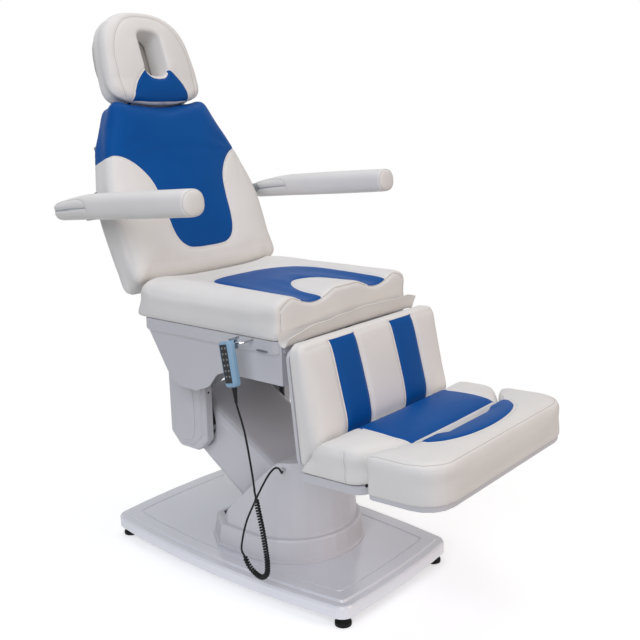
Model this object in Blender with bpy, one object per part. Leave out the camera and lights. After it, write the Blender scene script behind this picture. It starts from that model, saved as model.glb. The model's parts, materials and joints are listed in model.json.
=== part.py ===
"""Electric facial bed: lifting seat, reclining back, rising leg rest, level foot rest and hand control.

Metres, +Z up. -Y is the foot end, +X the sitter's left. The pose is a seat raised near the top of its
travel, with the back upright and the leg rest hanging. Pieces are drawn with Y counted from the middle
of the floor base; at the end the whole bed is moved so that the middle of its box is over the origin.
"""
import math

import bmesh
import bpy
import numpy as np
from mathutils import Matrix, Vector

for old in list(bpy.data.objects):
    bpy.data.objects.remove(old)

# Fits
GAP = 0.0004              # between pieces that touch
RUN = 0.0005              # running clearance of a shaft in its bore, on the radius
WALL = 0.004              # moulded covers
FLAT = 1e-6               # a face counts as flat within this

# Floor base
BASE_HALF_WIDTH = 0.258   # at the corners
BASE_HALF_LENGTH = 0.489  # at the corners
BASE_SIDE_BOW = 0.040     # outward bow of the long sides
BASE_END_BOW = 0.013
BASE_CORNER_LEAST = 0.016  # of the groove, inside the rim's corners
BASE_CORNER = 0.036
BASE_UNDERSIDE = 0.033    # above the floor
BASE_RIM = 0.071          # top of the outer rim
BASE_STEP = 0.006         # raised deck inside the rim
BASE_GROOVE_INSET = 0.060
BASE_GROOVE_WIDTH = 0.006
BASE_GROOVE_DEPTH = 0.0025
FRAME_SIDE_MARGIN = 0.018
FRAME_HALF_WIDTH = BASE_HALF_WIDTH - FRAME_SIDE_MARGIN
FRAME_END_MARGIN = 0.017
FRAME_HALF_LENGTH = BASE_HALF_LENGTH - FRAME_END_MARGIN
FRAME_LOW = BASE_UNDERSIDE + 0.004
FRAME_RAIL = 0.060
FRAME_THICK = 0.026
FOOT_RADIUS = 0.024
FOOT_STUD = 0.006
FOOT_PAD = 0.017
FOOT_INSET = 0.014        # foot centre to the outside of the steel frame

# Lift turret
DECK = BASE_RIM + BASE_STEP
TURRET_FRONT = -0.306     # foot of the skirt at the front
TURRET_REAR = 0.118
TURRET_HALF_WIDTH = 0.217
TURRET_SKIRT_TOP = 0.150
TURRET_TOP = 0.385
TURRET_SHOULDER = 0.022   # inset of the upper body above the skirt
TURRET_TAPER = 0.010      # further inset at the top
TURRET_LIP = 0.010
MOUTH_TOP_Y = -0.172      # the sloping mouth that the arm leaves through
MOUTH_LOW_Y = 0.062

# Lift linkage
LIFT_Y = -0.130
LIFT_Z = 0.250
ARM_LENGTH = 0.359
ARM_SLOPE = math.radians(31.9)
ARM_HALF_WIDTH = 0.040
ARM_HALF_DEPTH = 0.024
ARM_HUB = 0.032
HUB_HALF_WIDTH = 0.140
SHAFT_RADIUS = 0.014
TIE_DROP = 0.056          # tie bar pivots below the arm pivots
TIE_HALF_DEPTH = 0.008
TIE_HALF_WIDTH = 0.015
TIE_PIN = 0.006
COVER_HALF_WIDTH = 0.146
COVER_LOW_DEPTH = 0.196   # arm cover, depth at the turret
COVER_HIGH_DEPTH = 0.168
COVER_DROP = 0.004        # cover centre line below the arm centre line
COVER_EDGE = 0.030
COVER_TAIL = 0.020        # cover past the lower pivot
COVER_HEAD = 0.060        # and past the upper one
STRUT_RADIUS = 0.012      # cross strut that carries the cover
WINDOW = 0.074            # round windows in the cover round the pivots
CHEEK = 0.016             # steel side plates of yoke and carriage
CHEEK_CLEAR = 0.003
YOKE_HALF = COVER_HALF_WIDTH + CHEEK_CLEAR + CHEEK
YOKE_HALF_LENGTH = 0.090
YOKE_FRONT = 0.045        # cheeks ahead of the shaft, at the foot
YOKE_NECK = 0.024         # and at the shaft

# Seat carriage and covers
EAR_HALF_WIDTH = 0.082
EAR_LOW = 0.360
EAR_HIGH = 0.598
EAR_THICK = 0.034
EAR_CHAMFER = 0.040
CARRIAGE_HALF_LENGTH = 0.062
CARRIAGE_FLARE = 0.083    # plates run further forward inside the tub
CARRIAGE_BRIDGE = 0.610
BRIDGE_THICK = 0.018
SEAT_HALF_WIDTH = 0.300
SEAT_FRONT = -0.312
SEAT_REAR = 0.252
SEAT_LOW = 0.7915
SEAT_DEPTH = 0.114        # to the crest of its raised sides
SEAT_CORNER = 0.024
SEAT_CREST = 0.238        # crest of the raised sides, from the middle
SEAT_DISH = 0.0125        # the dished middle, below the crest
SEAT_LANE = 0.140         # middle of each thigh channel
SEAT_LANE_HALF = 0.092
SEAT_LANE_DEPTH = 0.0245  # at the front edge, below the crest
SEAT_LANE_START = 0.030
SEAT_FRONT_ROUND = 0.010
TUB_HALF_WIDTH = 0.280
TUB_BAND_PROUD = 0.010
TUB_BAND_HALF_WIDTH = TUB_HALF_WIDTH + TUB_BAND_PROUD
TUB_BAND_LOW = 0.755
TUB_FRONT_LOW = 0.670
TUB_BULGE_LOW = 0.595
TUB_HEEL = 0.146          # foot of the sloping rear wall
TUB_FRONT = -0.314
TUB_REAR = 0.246
SEAT_FRAME_THICK = 0.024
SEAT_RAIL = 0.040
BOARD = 0.011             # plywood under the cushions
SEAT_FRAME_LOW = SEAT_LOW - 2 * GAP - BOARD - SEAT_FRAME_THICK
LUG = 0.014               # hinge lug thickness
LUG_X = 0.180             # inner face of the seat's hinge lugs
PIN_RADIUS = 0.008
BOSS = 0.017
LEG_PIN = 0.006
LEG_BOSS = 0.0125
APRON_THICK = 0.0024
APRON_HALF_WIDTH = 0.296
APRON_SECTION = [(0.0000, 0.034), (0.0014, 0.012), (0.0048, 0.0042), (0.0095, 0.0010), (0.0140, 0.0002),
                 (0.0185, 0.0020), (0.0230, 0.0075), (0.0300, 0.0190), (0.0390, 0.0350)]  # ahead, up

# Back rest
BACK_Y = 0.290
BACK_Z = 0.795
BACK_LEAN = math.radians(-22.0)
BACK_START = 0.046        # cushion, from the hinge along the back
BACK_MITRE = 0.52         # rise of its lower edge towards the seat, for its depth
BACK_WAIST = 0.324
BACK_TOP = 0.652
BACK_THICK = 0.104
BACK_HALF_LOW = 0.304
BACK_HALF_MID = 0.312
BACK_HALF_SHOULDER = 0.252
BACK_HALF_TOP = 0.192
BACK_DIP = 0.020
BACK_CROWN = 0.010
BACK_BOARD_INSET = 0.045
BACK_FRAME_HALF = 0.214
BACK_FRAME_THICK = 0.022
BACK_RAIL = 0.034
BACK_FRAME_START = 0.120
BACK_FRAME_TOP = 0.540
BACK_MID_RAIL = 0.420
STEM_PLANE = BOARD + GAP + BACK_FRAME_THICK / 2

# Head rest
HEAD_START = 0.654        # along the back, from the back's hinge
HEAD_LENGTH = 0.292
HEAD_HALF_WIDTH = 0.188
HEAD_THICK = 0.084
HEAD_FORWARD = -0.114     # its front face, square to the back
HEAD_NOD = math.radians(-4.0)
HEAD_CROWN = 0.010
SLOT_HALF_WIDTH = 0.026
SLOT_LOW = 0.082
SLOT_HIGH = 0.232
STEM_X = 0.060
STEM_RADIUS = 0.007
STEM_LOW = 0.318
STEM_TOP = 0.670
STEM_BEND = 0.022
HEAD_LUG_X = 0.030        # half-width of the tilt hinge
HEAD_BACK = HEAD_FORWARD + HEAD_THICK - STEM_PLANE
HEAD_LIFT = HEAD_START - STEM_TOP

# Arm rests
ARMREST_X = 0.4166
ARMREST_ALONG = 0.3425    # pivot, along the back from its hinge
ARMREST_OUT = -0.020      # pivot, square to the back
ARMREST_RISE = math.radians(-4.0)
ARMREST_REACH = 0.572     # pad, ahead of the pivot
ARMREST_TAIL = 0.034      # pad, behind the pivot
ARMREST_HALF_HEIGHT = 0.038
ARMREST_HALF_WIDTH = 0.040
CORE_HALF_HEIGHT = 0.011
CORE_HALF_WIDTH = 0.014
ARMREST_HUB = 0.015
BRACKET_X = 0.322         # outer face of the bracket's side leaf
BRACKET_THICK = 0.006
BRACKET_HALF_LENGTH = 0.030
BRACKET_FORWARD = 0.030   # side leaf, ahead of the pivot
BOLT_HEAD = 0.005
BOLT_END = BRACKET_X + 0.030

# Leg rest
LEG_Y = -0.336
LEG_Z = 0.772
LEG_LEAN = math.radians(-6.0)
LEG_HALF_WIDTH = 0.316
LEG_LENGTH = 0.335
LEG_TOP = 0.014           # cushion top, above the hinge
LEG_BACK = 0.014          # panel back, ahead of the hinge
LEG_THICK = 0.081
LEG_TOP_SHARE = 0.56      # of that thickness, at the cushion's top edge
LEG_CROWN = 0.007
LEG_PANEL = 0.010
LEG_PANEL_INSET = 0.006

# Foot rest
FOOT_Y = -0.372
FOOT_DROP = 0.002          # hinge, below the leg cushion's lower edge
FOOT_Z = round(LEG_Z + LEG_TOP - LEG_LENGTH - FOOT_DROP, 6)
FOOT_TILT = math.radians(-2.0)
FOOT_HALF_WIDTH = 0.346
TRAY_START = 0.040        # ahead of the hinge
TRAY_THICK = 0.022
MITRE = 0.75              # run of the inner pad's sloping rear, for its height
FOOT_SPLIT_SIDE = 0.228   # split between inner and outer pads at the sides
FOOT_SPLIT_MID = 0.318    # and in the middle
SPLIT_HALF_WIDTH = 0.215
FOOT_SPLIT_GAP = 0.006
FOOT_END = 0.466
FOOT_THICK = 0.096
FOOT_CORNER = 0.080
FOOT_CROWN = 0.007
RAIL_X = 0.150
RAIL_RADIUS = 0.006
RAIL_START = 0.060
RAIL_END = 0.400
LINK_BEHIND = 0.012       # foot link pivots, from the hinges
LINK_BELOW = 0.034
LINK_HALF_WIDTH = 0.006
LINK_HALF_DEPTH = 0.006
LINK_EYE = 0.010
LINK_PIN = 0.005
FORK = 0.006

# Hand control, its hook and its cord
HOOK_Y = -0.188
HOOK_HALF_WIDTH = 0.027
HOOK_REACH = 0.046
HOOK_RADIUS = 0.003
HOOK_Z = 0.786
HOOK_X = -TUB_BAND_HALF_WIDTH - HOOK_REACH
HANDSET_LENGTH = 0.124
HANDSET_HALF_WIDTH = 0.026
HANDSET_THICK = 0.024
HANDSET_SWING = math.radians(-14.0)
HANDSET_TURN = math.radians(-14.0)
HANDSET_RISE = 0.006      # case top, above the hook
KEYPAD_INSET = 0.004
KEYPAD_THICK = 0.0016
CLIP_GAP = 0.0095         # case back, outside the hook wire
CLIP_THICK = 0.003
CLIP_THROAT = 0.006       # inside of the clip's tail, past the hook wire
CLIP_HALF_WIDTH = 0.006
CLIP_DROP = 0.024
RELIEF_LENGTH = 0.028
RELIEF_RADIUS = 0.0046
CORD_RADIUS = 0.0024
CURL_RADIUS = 0.0050      # helix, at the middle of the cord
CORD_GAP = 0.0006         # between the stretches of the cord
CURLS = 44
CURL_POINTS = 8
GLAND_ANGLE = math.radians(212.0)
GLAND_Z = 0.362
GLAND_RADIUS = 0.0075
GLAND_PROUD = 0.010

# Routes of the hand control's cord, from the case down, round the curls and up to the turret
LEAD_ROUTE = [(-0.3666, -0.2222, 0.623), (-0.3665, -0.2460, 0.555), (-0.3640, -0.2620, 0.463),
              (-0.3618, -0.2700, 0.395)]
CURL_ROUTE = [(-0.3610, -0.2730, 0.372), (-0.3600, -0.2820, 0.327), (-0.3590, -0.2910, 0.283),
              (-0.3570, -0.2990, 0.225), (-0.3550, -0.3010, 0.185), (-0.3520, -0.2950, 0.152),
              (-0.3490, -0.2740, 0.133), (-0.3460, -0.2460, 0.134), (-0.3430, -0.2180, 0.148),
              (-0.3410, -0.1980, 0.172)]
TAIL_ROUTE = [(-0.3370, -0.1900, 0.215), (-0.3300, -0.2020, 0.270), (-0.3130, -0.2150, 0.318),
              (-0.2900, -0.2240, 0.360), (-0.2620, -0.2270, 0.391), (-0.2350, -0.2260, 0.403),
              (-0.2120, -0.2210, 0.394), (-0.1960, -0.2160, 0.375)]


def material(name, colour, roughness, metallic=0.0):
    """A Principled finish of one colour, given as sRGB hex."""
    finish = bpy.data.materials.new(name)
    finish.use_nodes = True
    shader = finish.node_tree.nodes["Principled BSDF"]
    values = [int(colour[i:i + 2], 16) / 255 for i in (0, 2, 4)]
    linear = [v / 12.92 if v <= 0.04045 else ((v + 0.055) / 1.055) ** 2.4 for v in values]
    shader.inputs["Base Color"].default_value = (*linear, 1.0)
    shader.inputs["Roughness"].default_value = roughness
    shader.inputs["Metallic"].default_value = metallic
    return finish


VINYL = material("white_vinyl", "DEDAD5", 0.45)
MOULDED = material("moulded_plastic", "CFCED4", 0.35)
BASE_SHELL = material("gloss_shell", "DCDBDD", 0.2)
STEEL = material("painted_steel", "55585C", 0.5, 0.4)
BRIGHT = material("bright_steel", "C9CBCE", 0.25, 1.0)
PLYWOOD = material("plywood", "B08D5E", 0.7)
RUBBER = material("black_rubber", "1B1C1E", 0.7)
CASE = material("handset_case", "7FA8C0", 0.4)
KEYS = material("keypad_film", "17181B", 0.35)

WORLD = {}
SIDE = {-1: "right", 1: "left"}
FOOT_STUD_TOP = FRAME_LOW + FRAME_THICK - 0.004
FOOT_SPOTS = [(sx * (FRAME_HALF_WIDTH - FOOT_INSET), sy * (FRAME_HALF_LENGTH - FOOT_INSET))
              for sx, sy in ((-1, -1), (1, -1), (1, 1), (-1, 1))]


def pivot(name, place, parent=None, lean=0.0, turn=0.0):
    """An empty on a joint's axis, leaned about X and then turned about Z."""
    empty = bpy.data.objects.new(name, None)
    bpy.context.collection.objects.link(empty)
    frame = Matrix.Translation(place) @ Matrix.Rotation(turn, 4, "Z") @ Matrix.Rotation(lean, 4, "X")
    if parent:
        empty.parent = parent
        empty.matrix_parent_inverse = WORLD[parent.name].inverted()
    empty.matrix_basis = frame
    WORLD[name] = frame
    return empty


def hold(item, parent, local):
    """Hang an object on a pivot; local ones are drawn in the pivot's own axes."""
    item.parent = parent
    if not local:
        item.matrix_parent_inverse = WORLD[parent.name].inverted()


def solid(name, shape, finish, parent, local=False, smooth=35):
    """Turn a bmesh into a named, smooth-shaded piece on a pivot."""
    mesh = bpy.data.meshes.new(name)
    bmesh.ops.recalc_face_normals(shape, faces=shape.faces)
    shape.to_mesh(mesh)
    shape.free()
    mesh.materials.append(finish)
    mesh.shade_smooth()
    mesh.set_sharp_from_angle(angle=math.radians(smooth))
    piece = bpy.data.objects.new(name, mesh)
    bpy.context.collection.objects.link(piece)
    hold(piece, parent, local)
    return piece


def combine(piece, shape, operation, local=False):
    """Cut a shape out of a piece, or fuse it on."""
    tool = solid(f"{piece.name}.tool", shape, piece.data.materials[0], piece.parent, local)
    tool.hide_render = True
    tool.display_type = "WIRE"
    change = piece.modifiers.new(operation.lower(), "BOOLEAN")
    change.operation = operation
    change.object = tool
    change.solver = "EXACT"
    return tool


def place_on(axis, a, b, t):
    """A point drawn at (a, b) across an axis, t along it."""
    return {"X": (t, a, b), "Y": (a, t, b), "Z": (a, b, t)}[axis]


def loft(rings, looped=False):
    """A closed body through rings of equally many points; faces that aren't flat are split.

    Its end rings are covered, or joined to each other where the body runs round in a loop.
    """
    shape = bmesh.new()
    loops = [[shape.verts.new(p) for p in ring] for ring in rings]
    count = len(loops[0])
    for low, high in zip(loops, loops[1:] + loops[:1] if looped else loops[1:]):
        for i in range(count):
            j = (i + 1) % count
            shape.faces.new((low[i], low[j], high[j], high[i]))
    if not looped:
        shape.faces.new(loops[0])
        shape.faces.new(loops[-1])
    shape.normal_update()
    bent = [f for f in shape.faces if max(abs(f.normal.dot(v.co - f.verts[0].co)) for v in f.verts) > FLAT]
    bmesh.ops.triangulate(shape, faces=bent)
    return shape


def prism(outline, axis, low, high):
    """An outline drawn across an axis, drawn out from low to high."""
    return loft([[place_on(axis, a, b, t) for a, b in outline] for t in (low, high)])


def block(low, high):
    """A box between two corners."""
    outline = rectangle(low[0], high[0], low[1], high[1])
    return prism(outline, "Z", low[2], high[2])


def rectangle(a0, a1, b0, b1):
    """Corners of a rectangle."""
    return [(a0, b0), (a1, b0), (a1, b1), (a0, b1)]


def circle(a, b, radius, sides=20):
    """Points round a circle."""
    turns = [2 * math.pi * (i + 0.5) / sides for i in range(sides)]
    return [(a + radius * math.cos(t), b + radius * math.sin(t)) for t in turns]


def rod(axis, a, b, radius, low, high, sides=20):
    """A round bar along an axis."""
    return prism(circle(a, b, radius, sides), axis, low, high)


def spindle(start, end, radii, sides=12):
    """A round piece between two points, with radii at even steps."""
    start, end = Vector(start), Vector(end)
    spin = (end - start).to_track_quat("Z", "Y").to_matrix()
    rings = []
    for i, radius in enumerate(radii):
        middle = start.lerp(end, i / (len(radii) - 1))
        rings.append([middle + spin @ Vector((a, b, 0.0)) for a, b in circle(0.0, 0.0, radius, sides)])
    return loft(rings)


def turned(profile, x, y, sides=16):
    """A turned piece about a vertical axis, from (radius, height) pairs."""
    return loft([[(*p, z) for p in circle(x, y, r, sides)] for r, z in profile])


def fillet(points, steps=4):
    """Round the corners of (a, b, radius) points."""
    out = []
    count = len(points)
    for i, (a, b, radius) in enumerate(points):
        here = Vector((a, b))
        before = Vector(points[i - 1][:2]) - here
        after = Vector(points[(i + 1) % count][:2]) - here
        turn = before.angle(after)
        if radius <= 0 or turn > math.pi - 1e-4:
            out.append((a, b))
            continue
        reach = min(radius / math.tan(turn / 2), 0.48 * before.length, 0.48 * after.length)
        radius = reach * math.tan(turn / 2)
        bisector = (before.normalized() + after.normalized()).normalized()
        centre = here + bisector * (radius / math.sin(turn / 2))
        start = here + before.normalized() * reach - centre
        end = here + after.normalized() * reach - centre
        sweep = start.angle_signed(end)
        for k in range(steps + 1):
            spin = Matrix.Rotation(-sweep * k / steps, 2)
            out.append(tuple(centre + spin @ start))
    return out


def inset(outline, amount):
    """Move an outline inwards by an amount; a negative amount grows it."""
    area = sum(a[0] * b[1] - b[0] * a[1] for a, b in zip(outline, outline[1:] + outline[:1]))
    side = 1.0 if area > 0 else -1.0
    out = []
    for i, here in enumerate(outline):
        here = Vector(here)
        along = [(here - Vector(outline[i - 1])), (Vector(outline[(i + 1) % len(outline)]) - here)]
        normals = [Vector((-d.y, d.x)).normalized() * side for d in along]
        middle = (normals[0] + normals[1]).normalized()
        out.append(tuple(here + middle * (amount / max(0.5, middle.dot(normals[0])))))
    return out


def rounded(points, margin, least=0.006, steps=4):
    """An outline of (a, b, radius) corners, moved in by a margin before its corners are rounded."""
    moved = inset([(a, b) for a, b, radius in points], margin)
    radii = [max(least, radius - margin) if radius else 0.0 for a, b, radius in points]
    return fillet([(a, b, radius) for (a, b), radius in zip(moved, radii)], steps)


def on_rectangle(outline, middle, half):
    """An outline drawn in to the edge of a rectangle inside it, with points on its four corners."""
    out = []
    for p in outline:
        way = Vector(p) - Vector(middle)
        out.append(tuple(Vector(middle) + way / max(abs(way.x) / half[0], abs(way.y) / half[1])))
    for corner in rectangle(middle[0] - half[0], middle[0] + half[0], middle[1] - half[1], middle[1] + half[1]):
        nearest = min(range(len(out)), key=lambda i: math.dist(out[i], corner))
        out[nearest] = corner
    return out


def shrink(outline, share):
    """An outline scaled about its middle."""
    middle = np.mean(outline, axis=0)
    return [tuple(middle + (np.array(p) - middle) * share) for p in outline]


def pad(outline, thick, crown, spot, round_back=0.010, round_front=0.030, waist=0.005):
    """A stuffed pad: flat back, drawn-in sides, rounded front edge and a crowned face.

    outline(depth) gives its outline moved in by a depth; spot(a, b, t) puts a point at height t in place.
    """
    half = math.sqrt(0.5)
    steps = [
        (round_back, 0.0), (round_back * (1 - half), round_back * (1 - half)), (0.0, round_back),
        (waist, 0.45 * thick), (0.0, thick - round_front),
        (round_front * (1 - half), thick - round_front * (1 - half)), (round_front, thick),
    ]
    rings = [[spot(a, b, t) for a, b in outline(d)] for d, t in steps]
    edge = outline(round_front)
    for share, rise in ((0.80, 0.55), (0.45, 1.0)):
        rings.append([spot(a, b, thick + crown * rise) for a, b in shrink(edge, share)])
    return loft(rings)


def smooth_path(points, count):
    """Evenly spaced points on a smooth curve through a route's own points."""
    knots = np.array([2 * np.array(points[0]) - points[1], *points, 2 * np.array(points[-1]) - points[-2]])
    fine = []
    for i in range(1, len(knots) - 2):
        p0, p1, p2, p3 = knots[i - 1:i + 3]
        for t in np.linspace(0, 1, 24, endpoint=False):
            fine.append(0.5 * (2 * p1 + (p2 - p0) * t + (2 * p0 - 5 * p1 + 4 * p2 - p3) * t ** 2
                               + (3 * p1 - p0 - 3 * p2 + p3) * t ** 3))
    fine = np.array([*fine, knots[-2]])
    run = np.concatenate([[0], np.cumsum(np.linalg.norm(np.diff(fine, axis=0), axis=1))])
    at = np.linspace(0, run[-1], count)
    return np.stack([np.interp(at, run, fine[:, k]) for k in range(3)], axis=1)


def tube(name, points, radius, finish, parent, sides_step=2, local=False):
    """A round tube along points, with filled ends."""
    curve = bpy.data.curves.new(name, "CURVE")
    curve.dimensions = "3D"
    curve.bevel_depth = radius
    curve.bevel_resolution = sides_step
    curve.use_fill_caps = True
    spline = curve.splines.new("POLY")
    spline.points.add(len(points) - 1)
    for spot, place in zip(spline.points, points):
        spot.co = (*place, 1.0)
    curve.materials.append(finish)
    piece = bpy.data.objects.new(name, curve)
    bpy.context.collection.objects.link(piece)
    hold(piece, parent, local)
    return piece


def bowed_base(depth):
    """The base outline, its sides bowed outwards, moved in by a depth."""
    side, end = 6, 4
    right = []
    for i in range(side):
        y = BASE_HALF_LENGTH * (2 * i / side - 1)
        bow = BASE_SIDE_BOW * (1 - (y / BASE_HALF_LENGTH) ** 2)
        right.append((BASE_HALF_WIDTH + bow, y, BASE_CORNER if i == 0 else 0.0))
    rear = []
    for i in range(end):
        x = BASE_HALF_WIDTH * (1 - 2 * i / end)
        bow = BASE_END_BOW * (1 - (x / BASE_HALF_WIDTH) ** 2)
        rear.append((x, BASE_HALF_LENGTH + bow, BASE_CORNER if i == 0 else 0.0))
    half = right + rear
    return rounded(half + [(-x, -y, r) for x, y, r in half], depth, BASE_CORNER_LEAST)


def base_cover(parent):
    """Moulded floor cover: bowed rim, raised deck, groove, hollow underneath."""
    deck = BASE_RIM + BASE_STEP
    groove = BASE_GROOVE_INSET
    floor = deck - BASE_GROOVE_DEPTH
    steps = [
        (WALL, deck - WALL - BASE_GROOVE_DEPTH), (WALL, BASE_UNDERSIDE), (0.0, BASE_UNDERSIDE),
        (0.0, BASE_RIM - 0.008), (0.003, BASE_RIM - 0.002), (0.010, BASE_RIM), (0.022, BASE_RIM),
        (0.026, deck), (groove, deck), (groove + 0.001, floor),
        (groove + BASE_GROOVE_WIDTH - 0.001, floor), (groove + BASE_GROOVE_WIDTH, deck),
    ]
    rings = [[(*p, z) for p in bowed_base(d)] for d, z in steps]
    hole = on_rectangle(bowed_base(groove + BASE_GROOVE_WIDTH), (0.0, LIFT_Y),
                        (YOKE_HALF + 0.004, YOKE_HALF_LENGTH + 0.004))
    rings += [[(*p, z) for p in hole] for z in (deck, steps[0][1])]
    return solid("base_cover", loft(rings, looped=True), BASE_SHELL, parent)


def base_frame(parent):
    """Welded steel ladder inside the floor cover, with a plate for the lift yoke."""
    top = FRAME_LOW + FRAME_THICK
    piece = solid("base_frame", block((-FRAME_HALF_WIDTH, -FRAME_HALF_LENGTH, FRAME_LOW),
                                      (FRAME_HALF_WIDTH, FRAME_HALF_LENGTH, top)), STEEL, parent)
    inner = FRAME_HALF_WIDTH - FRAME_RAIL
    ends = FRAME_HALF_LENGTH - FRAME_RAIL
    plate = YOKE_HALF_LENGTH + 0.02
    for low, high in ((-ends, LIFT_Y - plate), (LIFT_Y + plate, ends)):
        combine(piece, block((-inner, low, FRAME_LOW - 0.01), (inner, high, top + 0.01)), "DIFFERENCE")
    for x, y in FOOT_SPOTS:
        combine(piece, rod("Z", x, y, FOOT_STUD + RUN, FRAME_LOW - 0.01, FOOT_STUD_TOP + RUN), "DIFFERENCE")
    return piece


def levelling_feet(parent):
    """Four rubber-soled levelling feet on studs."""
    for name, (x, y) in zip(("front_right", "front_left", "rear_left", "rear_right"), FOOT_SPOTS):
        profile = [(FOOT_RADIUS, 0.0), (FOOT_RADIUS, FOOT_PAD * 0.55), (FOOT_RADIUS * 0.55, FOOT_PAD),
                   (FOOT_STUD, FOOT_PAD), (FOOT_STUD, FOOT_STUD_TOP)]
        solid(f"levelling_foot_{name}", turned(profile, x, y), RUBBER, parent)


def turret_outline(depth):
    """Plan of the turret: a round front, straight sides and cut rear corners."""
    half = TURRET_HALF_WIDTH - depth
    centre = TURRET_FRONT + TURRET_HALF_WIDTH
    front = [(half * math.cos(t), centre + half * math.sin(t)) for t in np.linspace(-math.pi, 0, 15)]
    rear = TURRET_REAR - depth
    corner = 0.075
    return front + [(half, rear - corner), (half - corner * 0.7, rear), (corner * 0.7 - half, rear),
                    (-half, rear - corner)]


def turret_cover(parent):
    """Moulded turret: skirt, shoulder, tapering upper body and a sloping mouth at the rear."""
    low = DECK + GAP
    upper = TURRET_SHOULDER
    lip = TURRET_LIP
    steps = [
        (0.0, low), (0.0, low + 0.006), (0.005, low + 0.009), (lip, TURRET_SKIRT_TOP - 0.008),
        (lip + 0.003, TURRET_SKIRT_TOP - 0.002), (lip + 0.009, TURRET_SKIRT_TOP), (upper, TURRET_SKIRT_TOP),
        (upper + 0.002, TURRET_SKIRT_TOP + 0.008), (upper + TURRET_TAPER, TURRET_TOP - 0.020),
        (upper + TURRET_TAPER + 0.006, TURRET_TOP - 0.005), (upper + TURRET_TAPER + 0.020, TURRET_TOP),
    ]
    rings = [[(*p, z) for p in turret_outline(d)] for d, z in steps]
    piece = solid("turret_cover", loft(rings), MOULDED, parent)
    skirt = lip + 0.003 + WALL
    body = upper + TURRET_TAPER + WALL
    hollow = [(skirt, low - 0.01), (skirt, TURRET_SKIRT_TOP - WALL), (upper + WALL, TURRET_SKIRT_TOP - WALL),
              (body, TURRET_TOP - 0.024), (body + 0.020, TURRET_TOP - WALL)]
    combine(piece, loft([[(*p, z) for p in turret_outline(d)] for d, z in hollow]), "DIFFERENCE")
    slope = (TURRET_TOP - TURRET_SKIRT_TOP) / (MOUTH_LOW_Y - MOUTH_TOP_Y)
    over = 0.05
    mouth = [(MOUTH_TOP_Y - over, TURRET_TOP + over * slope), (MOUTH_LOW_Y, TURRET_SKIRT_TOP - GAP),
             (TURRET_REAR + over, TURRET_SKIRT_TOP - GAP), (TURRET_REAR + over, TURRET_TOP + over * slope)]
    combine(piece, prism(mouth, "X", -TURRET_HALF_WIDTH, TURRET_HALF_WIDTH), "DIFFERENCE")
    combine(piece, spindle(gland_spot(-0.03), gland_spot(0.03), [GLAND_RADIUS + GAP] * 2), "DIFFERENCE")
    return piece


def gland_spot(out):
    """A point on the cord gland's axis, out from the turret's wall."""
    reach = TURRET_HALF_WIDTH - TURRET_SHOULDER - TURRET_TAPER + out
    centre = TURRET_FRONT + TURRET_HALF_WIDTH
    return Vector((reach * math.cos(GLAND_ANGLE), centre + reach * math.sin(GLAND_ANGLE), GLAND_Z))


def cord_gland(parent):
    """Rubber bush in the turret's wall, where the cord goes in."""
    radii = [GLAND_RADIUS, GLAND_RADIUS, CORD_RADIUS + 0.002]
    shape = spindle(gland_spot(-WALL - 0.004), gland_spot(GLAND_PROUD), radii)
    return solid("cord_gland", shape, RUBBER, parent)


def lift_yoke(parent):
    """Welded yoke on the base frame: two cheeks that carry the arm shaft and the tie bar pin."""
    low = FRAME_LOW + FRAME_THICK + GAP
    waist, top = 0.75 * LIFT_Z, LIFT_Z + 2 * BOSS
    outline = fillet([(-YOKE_FRONT, low, 0), (YOKE_HALF_LENGTH, low, 0), (2 * BOSS, waist, 0.03),
                      (2 * BOSS, top, 1.9 * BOSS), (-YOKE_NECK, top, YOKE_NECK), (-YOKE_NECK, waist, 0.03)])
    outline = [(y + LIFT_Y, z) for y, z in outline]
    piece = solid("lift_yoke", prism(outline, "X", -YOKE_HALF, YOKE_HALF), STEEL, parent)
    inner = YOKE_HALF - CHEEK
    combine(piece, block((-inner, LIFT_Y - YOKE_HALF_LENGTH - 0.01, low + CHEEK),
                         (inner, LIFT_Y + YOKE_HALF_LENGTH + 0.01, LIFT_Z + 0.1)), "DIFFERENCE")
    for z, radius in ((LIFT_Z, SHAFT_RADIUS), (LIFT_Z - TIE_DROP, TIE_PIN)):
        combine(piece, rod("X", LIFT_Y, z, radius + RUN, -YOKE_HALF - 0.01, YOKE_HALF + 0.01), "DIFFERENCE")
    return piece


def on_arm(along, across):
    """A point beside the arm's centre line: along it from the lower pivot, and square to it."""
    c, s = math.cos(ARM_SLOPE), math.sin(ARM_SLOPE)
    return (LIFT_Y + along * c - across * s, LIFT_Z + along * s + across * c)


def lift_arm(parent):
    """Steel box arm with a cross hub at each pivot and a strut that carries the cover."""
    bar = [on_arm(a, b) for a, b in rectangle(0.0, ARM_LENGTH, -ARM_HALF_DEPTH, ARM_HALF_DEPTH)]
    piece = solid("lift_arm", prism(bar, "X", -ARM_HALF_WIDTH, ARM_HALF_WIDTH), STEEL, parent)
    for y, z in (on_arm(0, 0), on_arm(ARM_LENGTH, 0)):
        combine(piece, rod("X", y, z, ARM_HUB, -HUB_HALF_WIDTH, HUB_HALF_WIDTH, 24), "UNION")
    strut = COVER_HALF_WIDTH - WALL - GAP
    combine(piece, rod("X", *on_arm(ARM_LENGTH / 2, 0), STRUT_RADIUS, -strut, strut), "UNION")
    for y, z in (on_arm(0, 0), on_arm(ARM_LENGTH, 0)):
        bore = rod("X", y, z, SHAFT_RADIUS + RUN, -HUB_HALF_WIDTH - 0.01, HUB_HALF_WIDTH + 0.01)
        combine(piece, bore, "DIFFERENCE")
    return piece


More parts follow.
